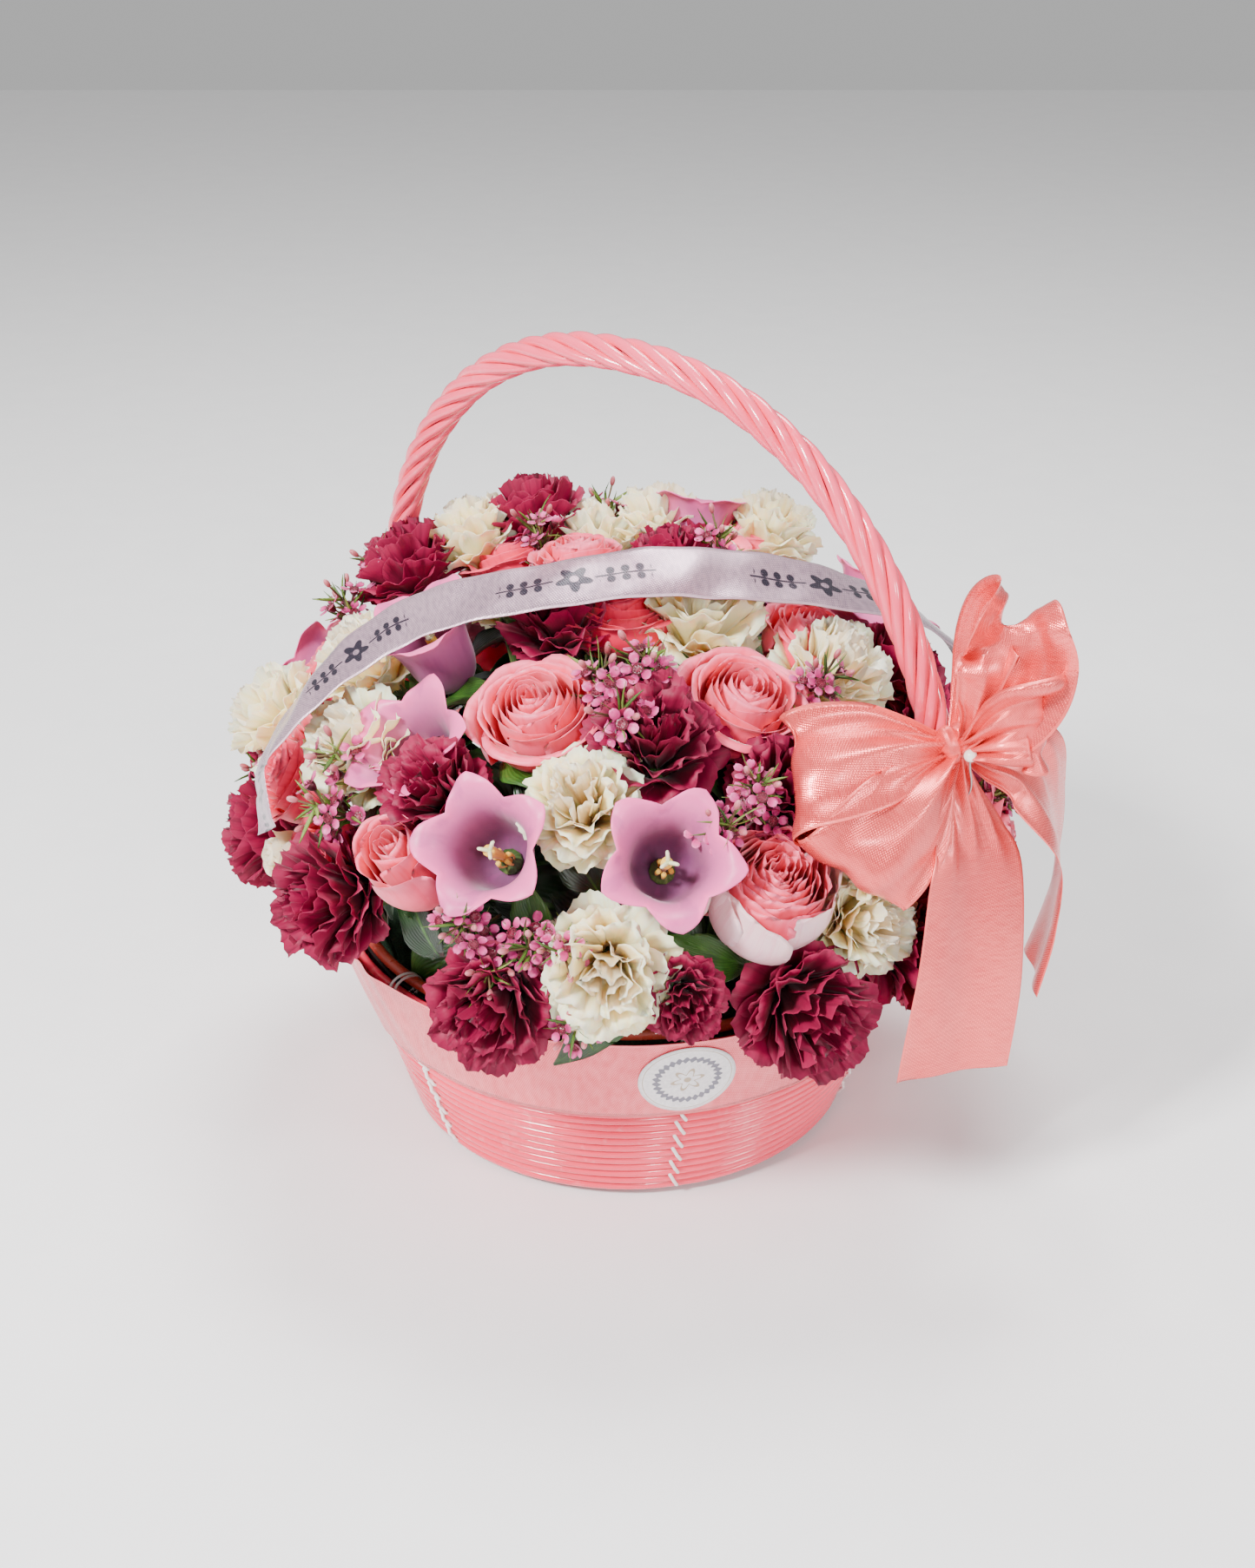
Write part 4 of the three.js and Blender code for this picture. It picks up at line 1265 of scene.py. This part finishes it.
def bellHead(seed):
    draws = random.Random(seed)
    bm = newMesh()
    last = bell["samples"]
    line = curveThrough(bell["profile"], last)
    start = draws.uniform(0, 1)

    def place(u, v):
        turn = u * fullTurn
        half = bell["lobes"] / 2 * turn
        # 1 in the middle of a lobe, which is a little pointed, and 0 in the notch
        lobe = 0.6 * abs(math.cos(half)) + 0.4 * (1 - abs(math.sin(half)))
        notch = (1 - lobe) ** 1.2
        t = v * (1 - 0.2 * notch * soft(v, 0.5, 1))
        k = min(int(t * last), last - 1)
        f = t * last - k
        reach, z = (a * (1 - f) + b * f for a, b in zip(line[k], line[k + 1]))
        rib = 1 + 0.045 * (lobe - 0.5) * soft(t, 0.1, 0.5)
        curl = soft(t, 0.8, 1.0) * (0.8 + 0.5 * math.sin(3 * turn + start * 6))
        wave = 0.7 * math.sin(turn * 13 + start * 9) * soft(t, 0.72, 1)
        z += wave - curl * 1.3 - 2.2 * notch * soft(t, 0.5, 1)
        tip = 0.1 * (lobe ** 2 - 0.4) * soft(v, 0.72, 1)
        return polar(reach * (rib + tip) + wave * 0.4, turn, z) * mm

    patch(bm, *bell["grid"], place, 0.5, thick=bell["thick"] * mm, closed=True)
    column = [Vector((0.6 * math.sin(i * 0.5), 0.4 * i / 8, -25 + 3.6 * i)) * mm for i in range(9)]
    tube(bm, column, lambda t: (1.5 + 1.2 * soft(t, 0.3, 0.9)) * mm, 10, 0.6, 3)
    for i in range(bell["stamens"]):
        spin = spun(fullTurn * i / bell["stamens"] + draws.uniform(-0.3, 0.3))
        bend = [(1.5 + 2.6 * math.sin(k * 0.5), 0, -24 + 2.5 * k) for k in range(6)]
        stamen = [spin @ Vector(point) * mm for point in bend]
        tube(bm, stamen, lambda t: (0.5 + 0.8 * soft(t, 0.5, 1)) * mm, 6, draws.random(), 3)
    for i in range(bell["stigmas"]):
        spin = spun(fullTurn * i / bell["stigmas"] + start)
        bend = [(4.2 * math.sin(k * 0.3), 0, 3 + 3.4 * math.sin(k * 0.36)) for k in range(7)]
        stigma = [spin @ Vector(point) * mm for point in bend]
        tube(bm, stigma, lambda t: (1.1 - 0.4 * t) * mm, 7, 0.9, 4)
    calyx(bm, *bell["calyx"])
    return keepTemplate(bm, f"bellHead{seed}")


templates = {
    "carnation": [carnationHead(seed) for seed in (1, 2, 3)],
    "rose": [roseHead("open", seed) for seed in (11, 12)],
    "garden": [roseHead("garden", 21)],
    "bud": [roseHead("bud", 31)],
    "bell": [bellHead(seed) for seed in (41, 42)],
}
print("flower heads made")

# the petals' materials with the stem's between the first and the rest, the slot, the CAD nodes
petalSets = {
    "red": (["redPetal"], "red_petal", "carnation_red"),
    "cream": (["creamPetal"], "cream_petal", "carnation_cream"),
    "pink": (["rosePetal", "palePetal"], "rose_petal", "rose_pink"),
    "hot": (["hotPetal", "rosePetal"], "hot_petal", "rose_hot"),
    "bell": (["bellPetal", "bellPetal", "stamenYellow", "stigmaGreen"], "bell_petal", "bellflower"),
}
upright = {"garden": 0.7, "bud": 0.6}  # heads that stand up more than the dome's slope
shifted = {"garden": Vector((7, 0, -4))}  # heads moved aside, to clear the ones next to them
bellOut = 10  # how much further out a bell sits, to show its whole mouth
# kind, colour, degrees from the front to the right, degrees up the dome and size; the CAD
# nodes of one colour are numbered in this order
flowers = [
    ("carnation", "red", -50, 12, 1.05), ("carnation", "red", -19, 3, 1.0),
    ("carnation", "red", 26, -1, 1.1), ("carnation", "red", 178, 4, 1.0),
    ("carnation", "red", -88, 2, 1.0), ("carnation", "red", 75, 32, 0.95),
    ("carnation", "red", 6, 51, 1.05), ("carnation", "red", 160, 60, 1.0),
    ("carnation", "red", -45, 76, 0.95), ("carnation", "cream", -3, 12, 1.0),
    ("carnation", "cream", 37, 13, 0.82), ("carnation", "cream", 112, 4, 1.0),
    ("carnation", "cream", -112, 4, 1.0), ("carnation", "cream", 122, 36, 1.0),
    ("carnation", "cream", -157, 34, 1.0), ("carnation", "cream", -60, 38, 0.95),
    ("carnation", "cream", -8, 40, 0.92), ("carnation", "cream", 63, 54, 0.98),
    ("carnation", "cream", 50, 76, 1.08), ("rose", "pink", 80, 4, 1.0),
    ("rose", "pink", 145, 4, 1.0), ("bud", "pink", -37, 24, 1.0),
    ("garden", "pink", 20, 26, 1.08), ("rose", "pink", -105, 34, 1.0),
    ("rose", "pink", -23, 55, 1.0), ("rose", "pink", 31, 56, 0.98), ("rose", "hot", -154, 4, 1.0),
    ("rose", "hot", 160, 34, 1.0), ("rose", "hot", -75, 24, 0.9), ("rose", "hot", -140, 60, 0.95),
    ("bell", "bell", -21, 30, 0.84), ("bell", "bell", 6, 30, 0.84),
    ("bell", "bell", -66, 58, 0.84),
]
# more flowers between those, by the place of the head's middle
fillers = [
    ("carnation", "red", (-72, -98, 193), 0.85), ("carnation", "red", (60, -101, 195), 0.9),
    ("carnation", "red", (109, -105, 130), 0.95), ("carnation", "red", (-95, 58, 221), 0.95),
    ("carnation", "red", (108, -9, 203), 0.9), ("carnation", "red", (-40, 74, 239), 0.9),
    ("carnation", "red", (20, -150, 136), 0.68), ("carnation", "red", (-60, 128, 180), 0.95),
    ("carnation", "red", (158, 15, 148), 0.8), ("carnation", "red", (-152, 27, 154), 0.7),
    ("carnation", "cream", (-107, -2, 204), 0.9), ("carnation", "cream", (-149, 13, 172), 0.95),
    ("carnation", "cream", (-66, 68, 233), 0.85), ("carnation", "cream", (-16, 71, 230), 0.85),
    ("carnation", "cream", (13, 74, 236), 0.85), ("carnation", "cream", (61, 69, 233), 0.9),
    ("carnation", "cream", (-5, 138, 178), 0.85), ("carnation", "cream", (96, -112, 172), 0.75),
    ("rose", "hot", (-3, -25, 234), 0.85), ("rose", "pink", (74, -20, 221), 0.85),
    ("rose", "pink", (53, 70, 226), 0.85), ("rose", "pink", (20, 110, 208), 0.95),
    ("rose", "hot", (90, 80, 190), 0.9), ("rose", "pink", (-110, 100, 165), 0.95),
    ("bud", "cream", (-137, -60, 146), 0.6), ("rose", "hot", (-120, -78, 152), 0.8),
    ("bell", "bell", (-80, -78, 200), 0.85), ("bell", "bell", (88, 19, 214), 0.85),
    ("bell", "bell", (30, 74, 237), 0.85), ("bell", "bell", (106, 50, 205), 0.9),
    ("bell", "bell", (-30, 110, 215), 0.9), ("bell", "bell", (-140, 72, 165), 0.85),
    ("bell", "bell", (60, 140, 168), 0.9), ("rose", "pink", (-20, 20, 238), 0.85),
    ("carnation", "red", (18, 22, 238), 0.75),
]


def domePlace(turn, height):
    lat = math.radians(height)
    reach, z = dome["radius"] * math.cos(lat), dome["level"] + dome["rise"] * math.sin(lat)
    tilt = math.atan2(math.sin(lat) / dome["rise"], math.cos(lat) / dome["radius"])
    spot = around(math.radians(turn), reach, z)
    axis = around(math.radians(turn), math.cos(tilt), math.sin(tilt))
    return spot, axis


def axisAt(spot):
    x, y, z = spot
    wide, tall = dome["radius"] ** 2, dome["rise"] ** 2
    return Vector((x / wide, y / wide, (z - dome["level"]) / tall)).normalized()


def headFrame(spot, axis, roll, size):
    turn = axis.to_track_quat("Z", "Y").to_matrix().to_4x4()
    place = Matrix.Translation(spot * mm) @ turn @ spun(roll, 4)
    return place @ Matrix.Scale(size, 4)


def stemTo(bm, spot, axis, size):
    neck = spot - axis * (dome["neck"] * size)
    level = Vector((spot.x, spot.y, 0))
    ring = min(level.length * dome["stemRing"] / dome["radius"], dome["stemRing"])
    root = level.normalized() * ring + Vector((0, 0, dome["stemFoot"]))
    guide = neck - axis * (0.42 * (neck - root).length)
    points = [bezier(root, guide, neck, i / 12) * mm for i in range(13)]
    tube(bm, points, dome["stem"] * mm, 7, 0.5, 1)


def flowerPiece(name, kind, colour, spot, axis, size, draws, replaced):
    source = draws.choice(templates[kind])
    bm = newMesh()
    bm.from_mesh(source)
    place = headFrame(spot, axis, draws.uniform(0, fullTurn), size)
    bmesh.ops.transform(bm, matrix=place, verts=bm.verts)
    stemTo(bm, spot, axis, size)
    (first, *others), slot, _ = petalSets[colour]
    materials = [petals[first], stemGreen] + [petals[other] for other in others]
    toPiece(bm, name, materials, replaced, outwards=False)


def makeFlowers():
    draws = random.Random(7)
    made = {colour: 0 for colour in petalSets}
    for kind, colour, turn, height, size in flowers:
        made[colour] += 1
        node = f"{petalSets[colour][2]}_{made[colour]}"
        spot, axis = domePlace(turn, height)
        if kind == "bell":
            spot += axis * bellOut
        if kind in shifted:
            spot += shifted[kind]
        if kind in upright:
            axis = (axis + Vector((0, 0, upright[kind]))).normalized()
        first, *others = node.split("_")
        name = first + "".join(word.capitalize() for word in others)
        flowerPiece(name, kind, colour, spot, axis, size, draws, [node])
    for i, (kind, colour, spot, size) in enumerate(fillers):
        spot = Vector(spot)
        name = f"{kind}{colour.capitalize()}Filler{i + 1}"
        flowerPiece(name, kind, colour, spot, axisAt(spot), size, draws, [])


makeFlowers()
print("flowers made")

# waxflower sprigs and leaves
waxflower = {
    "stem": 46, "blooms": 7, "buds": 3, "needles": 26, "petals": 5, "petal": 2.1, "stamens": 8,
    "opened": (1, 1, 1, 0.45),
    "cup": [(0.9, -3.4), (1.9, -1.9), (2.6, 0.4), (2.3, 0.8), (1.0, 0.1), (0.0, 0.3)],
    "bloomStem": (7, 12), "bloomLean": (38, 68), "needle": (11, 18), "needleLean": (20, 75),
}


def waxBloom(bm, place, draws, opened):
    size, count = waxflower["petal"], waxflower["petals"]
    start = draws.uniform(0, fullTurn)
    for i in range(count):
        spin = spun(start + fullTurn * i / count)

        def petal(u, v):
            side = 2 * u - 1
            reach = 2.5 + 2 * size * v
            half = size * math.sqrt(max(1 - (2 * v - 1) ** 2 * 0.86, 0)) * 0.98
            lift = 0.4 + (1.1 + 3 * (1 - opened)) * v * v + 0.4 * side * side
            pull = reach * (0.35 + 0.65 * opened)
            return place @ (spin @ Vector((pull, half * side, lift)) * mm)

        patch(bm, 4, 5, petal, draws.random(), 0, 0.2 * mm)

    rings = len(waxflower["cup"]) - 1

    def cup(u, v):
        reach, z = waxflower["cup"][round(v * rings)]
        return place @ (polar(reach, u * fullTurn, z) * mm)

    patch(bm, 14, rings, cup, draws.random(), 1, closed=True)
    for i in range(waxflower["stamens"]):
        turn = fullTurn * i / waxflower["stamens"]
        foot, tip = polar(1.8, turn, 0.4), polar(1.4, turn, 1.6)
        tube(bm, [place @ (foot * mm), place @ (tip * mm)], 0.22 * mm, 4, 0.9, 1)


def needle(bm, foot, ahead, length, draws, slot):
    side = ahead.orthogonal().normalized()
    side = Matrix.Rotation(draws.uniform(0, fullTurn), 3, ahead) @ side
    up = ahead.cross(side)
    bend = draws.uniform(0.1, 0.35)

    def place(u, v):
        half = 0.75 * math.sin(math.pi * (0.12 + 0.86 * v))
        middle = foot + ahead * (length * v) + up * (bend * length * v * v)
        return (middle + side * (half * (2 * u - 1))) * mm

    patch(bm, 1, 4, place, draws.random(), slot, 0.35 * mm)


def budRadius(t):
    return 1.4 * mm * math.sin(math.pi * (0.12 + 0.76 * t))


def leaning(turn, lean):
    return polar(math.sin(lean), turn, math.cos(lean))


def waxSprig(seed):
    draws = random.Random(seed)
    bm = newMesh()
    stem = waxflower["stem"]
    main = []
    for i in range(9):
        x, y = math.sin(i * 0.7 + seed), math.cos(i * 0.5 + seed)
        main.append(Vector((1.5 * x, 1.5 * y, -stem + i * stem / 8)))
    tube(bm, [p * mm for p in main], 0.85 * mm, 6, 0.4, 2)
    tips = waxflower["blooms"] + waxflower["buds"]
    for i in range(tips):
        share = 0.45 + 0.55 * i / (tips - 1)
        foot = main[round(share * 8)]
        ahead = leaning(i * goldenTurn, math.radians(draws.uniform(*waxflower["bloomLean"])))
        length = draws.uniform(*waxflower["bloomStem"])
        tip = foot + ahead * length + Vector((0, 0, length * 0.25))
        guide = foot + ahead * (length * 0.5)
        tube(bm, [bezier(foot, guide, tip, k / 4) * mm for k in range(5)], 0.5 * mm, 5, 0.6, 2)
        face = (ahead + Vector((0, 0, 0.9))).normalized()
        turned = face.to_track_quat("Z", "Y").to_matrix().to_4x4()
        place = Matrix.Translation(tip * mm) @ turned
        if i < waxflower["blooms"]:
            waxBloom(bm, place, draws, draws.choice(waxflower["opened"]))
        else:
            points = [place @ (Vector((0, 0, z)) * mm) for z in (-1.5, -0.6, 0.6, 1.8, 2.9, 3.6)]
            tube(bm, points, budRadius, 9, draws.random(), 3)
    for i in range(waxflower["needles"]):
        foot = main[4 + i * 5 // waxflower["needles"]]
        lean = math.radians(draws.uniform(*waxflower["needleLean"]))
        length = draws.uniform(*waxflower["needle"])
        needle(bm, foot, leaning(i * goldenTurn + 1, lean), length, draws, 4)
    return keepTemplate(bm, f"waxSprig{seed}")


sprigPlaces = [
    (-39, 42, 249), (-10, -84, 239), (9, -79, 241), (-3, -104, 229), (36, -135, 201),
    (50, -121, 210), (-24, -155, 158), (-50, -152, 147), (-37, -154, 157), (-19, -159, 128),
    (-121, -94, 185), (75, -68, 231), (-61, -150, 167), (-113, -81, 201), (-125, 47, 215),
    (-108, 57, 227), (-38, 74, 246), (-10, 78, 246), (160, -15, 150), (120, 60, 190),
    (-100, 110, 190), (60, 118, 205), (-10, 150, 178), (150, 10, 172), (-160, 10, 150),
    (100, 118, 150), (40, 20, 252), (-60, 150, 150), (150, 70, 120),
]


def makeSprigs():
    sprigs = [waxSprig(seed) for seed in (51, 52, 53)]
    draws = random.Random(9)
    for i, spot in enumerate(sprigPlaces):
        spot = Vector(spot)
        axis = axisAt(spot) + Vector([draws.uniform(-0.2, 0.2) for _ in range(3)])
        bm = newMesh()
        bm.from_mesh(sprigs[i % len(sprigs)])
        roll, size = draws.uniform(0, fullTurn), draws.uniform(0.85, 1.0)
        place = headFrame(spot, axis.normalized(), roll, size)
        bmesh.ops.transform(bm, matrix=place, verts=bm.verts)
        materials = [petals["waxPetal"], petals["waxCup"], twigBrown, petals["waxBud"], needleGreen]
        toPiece(bm, f"waxflowerSprig{i + 1}", materials, outwards=False)


def leaf(bm, place, length, width, draws):
    droop, fold = draws.uniform(0.15, 0.5), draws.uniform(0.15, 0.4)
    wave = draws.uniform(0, fullTurn)

    def spot(u, v):
        side = 2 * u - 1
        half = width / 2 * math.sin(math.pi * (0.06 + 0.92 * v) ** 0.8)
        half *= 1 + 0.05 * math.sin(v * 60)
        z = -droop * length * v * v + fold * abs(side) * half
        z += 0.7 * math.sin(v * 9 + wave) * abs(side)
        return place @ (Vector((half * side, length * v, z)) * mm)

    patch(bm, 6, 12, spot, draws.random(), 0, 0.35 * mm)


# the under leaves, deep below the heads, are partly greenery hiding the foam and partly a dark
# layer that stands in for the shade in the gaps between heads
leaves = {
    "groups": 6, "each": 13, "length": (30, 44), "width": (16, 24), "below": (10, 17), "flat": 0.72,
    "under": 90, "underLength": (44, 56), "underWidth": (30, 38), "underBelow": 42,
    "underFlat": 0.85,
}


def leafFrame(spot, axis, draws, flat):
    # the leaf points away from its foot, lying along the dome
    lying = axis.orthogonal().normalized()
    lying = Matrix.Rotation(draws.uniform(0, fullTurn), 3, axis) @ lying
    ahead = (lying * flat + axis * (1 - flat)).normalized()
    side = ahead.cross(axis).normalized()
    up = side.cross(ahead)
    turn = Matrix((side, ahead, up)).transposed().to_4x4()
    return Matrix.Translation(spot * mm) @ turn


def makeLeaves():
    draws = random.Random(15)
    total = leaves["groups"] * leaves["each"]
    count = 0
    for group in range(leaves["groups"]):
        bm = newMesh()
        for i in range(leaves["each"]):
            turn = math.degrees(count * goldenTurn)
            height = math.degrees(math.asin(min(0.02 + 0.96 * count / total, 0.98)))
            spot, axis = domePlace(turn, height)
            below = axis * draws.uniform(*leaves["below"])
            place = leafFrame(spot - below, axis, draws, leaves["flat"])
            length, width = draws.uniform(*leaves["length"]), draws.uniform(*leaves["width"])
            leaf(bm, place, length, width, draws)
            count += 1
        toPiece(bm, f"leafGroup{group + 1}", [leafGreen], outwards=False)
    # under leaves: partly greenery over the foam, partly dark leaves standing in for the shade
    # between the heads
    bm = newMesh()
    for i in range(leaves["under"]):
        height = math.degrees(math.asin(0.985 * i / leaves["under"]))
        spot, axis = domePlace(math.degrees(i * goldenTurn), height)
        place = leafFrame(spot - axis * leaves["underBelow"], axis, draws, leaves["underFlat"])
        length, width = draws.uniform(*leaves["underLength"]), draws.uniform(*leaves["underWidth"])
        leaf(bm, place, length, width, draws)
    toPiece(bm, "underLeaves", [leafGreen], outwards=False)


makeSprigs()
makeLeaves()
print("sprigs and leaves made")

# CAD nodes that stay
carriedOver = {
    "base_board": makeBoardPlastic(),
    "liner": makeLinerFilm(),
    "foam_block": makeFoamGreen(),
    "handle_core": wireSteel,
}
for node, material in carriedOver.items():
    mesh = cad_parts[node].data
    mesh.materials.clear()
    mesh.materials.append(material)

for heads in templates.values():
    for mesh in heads:
        bpy.data.meshes.remove(mesh)
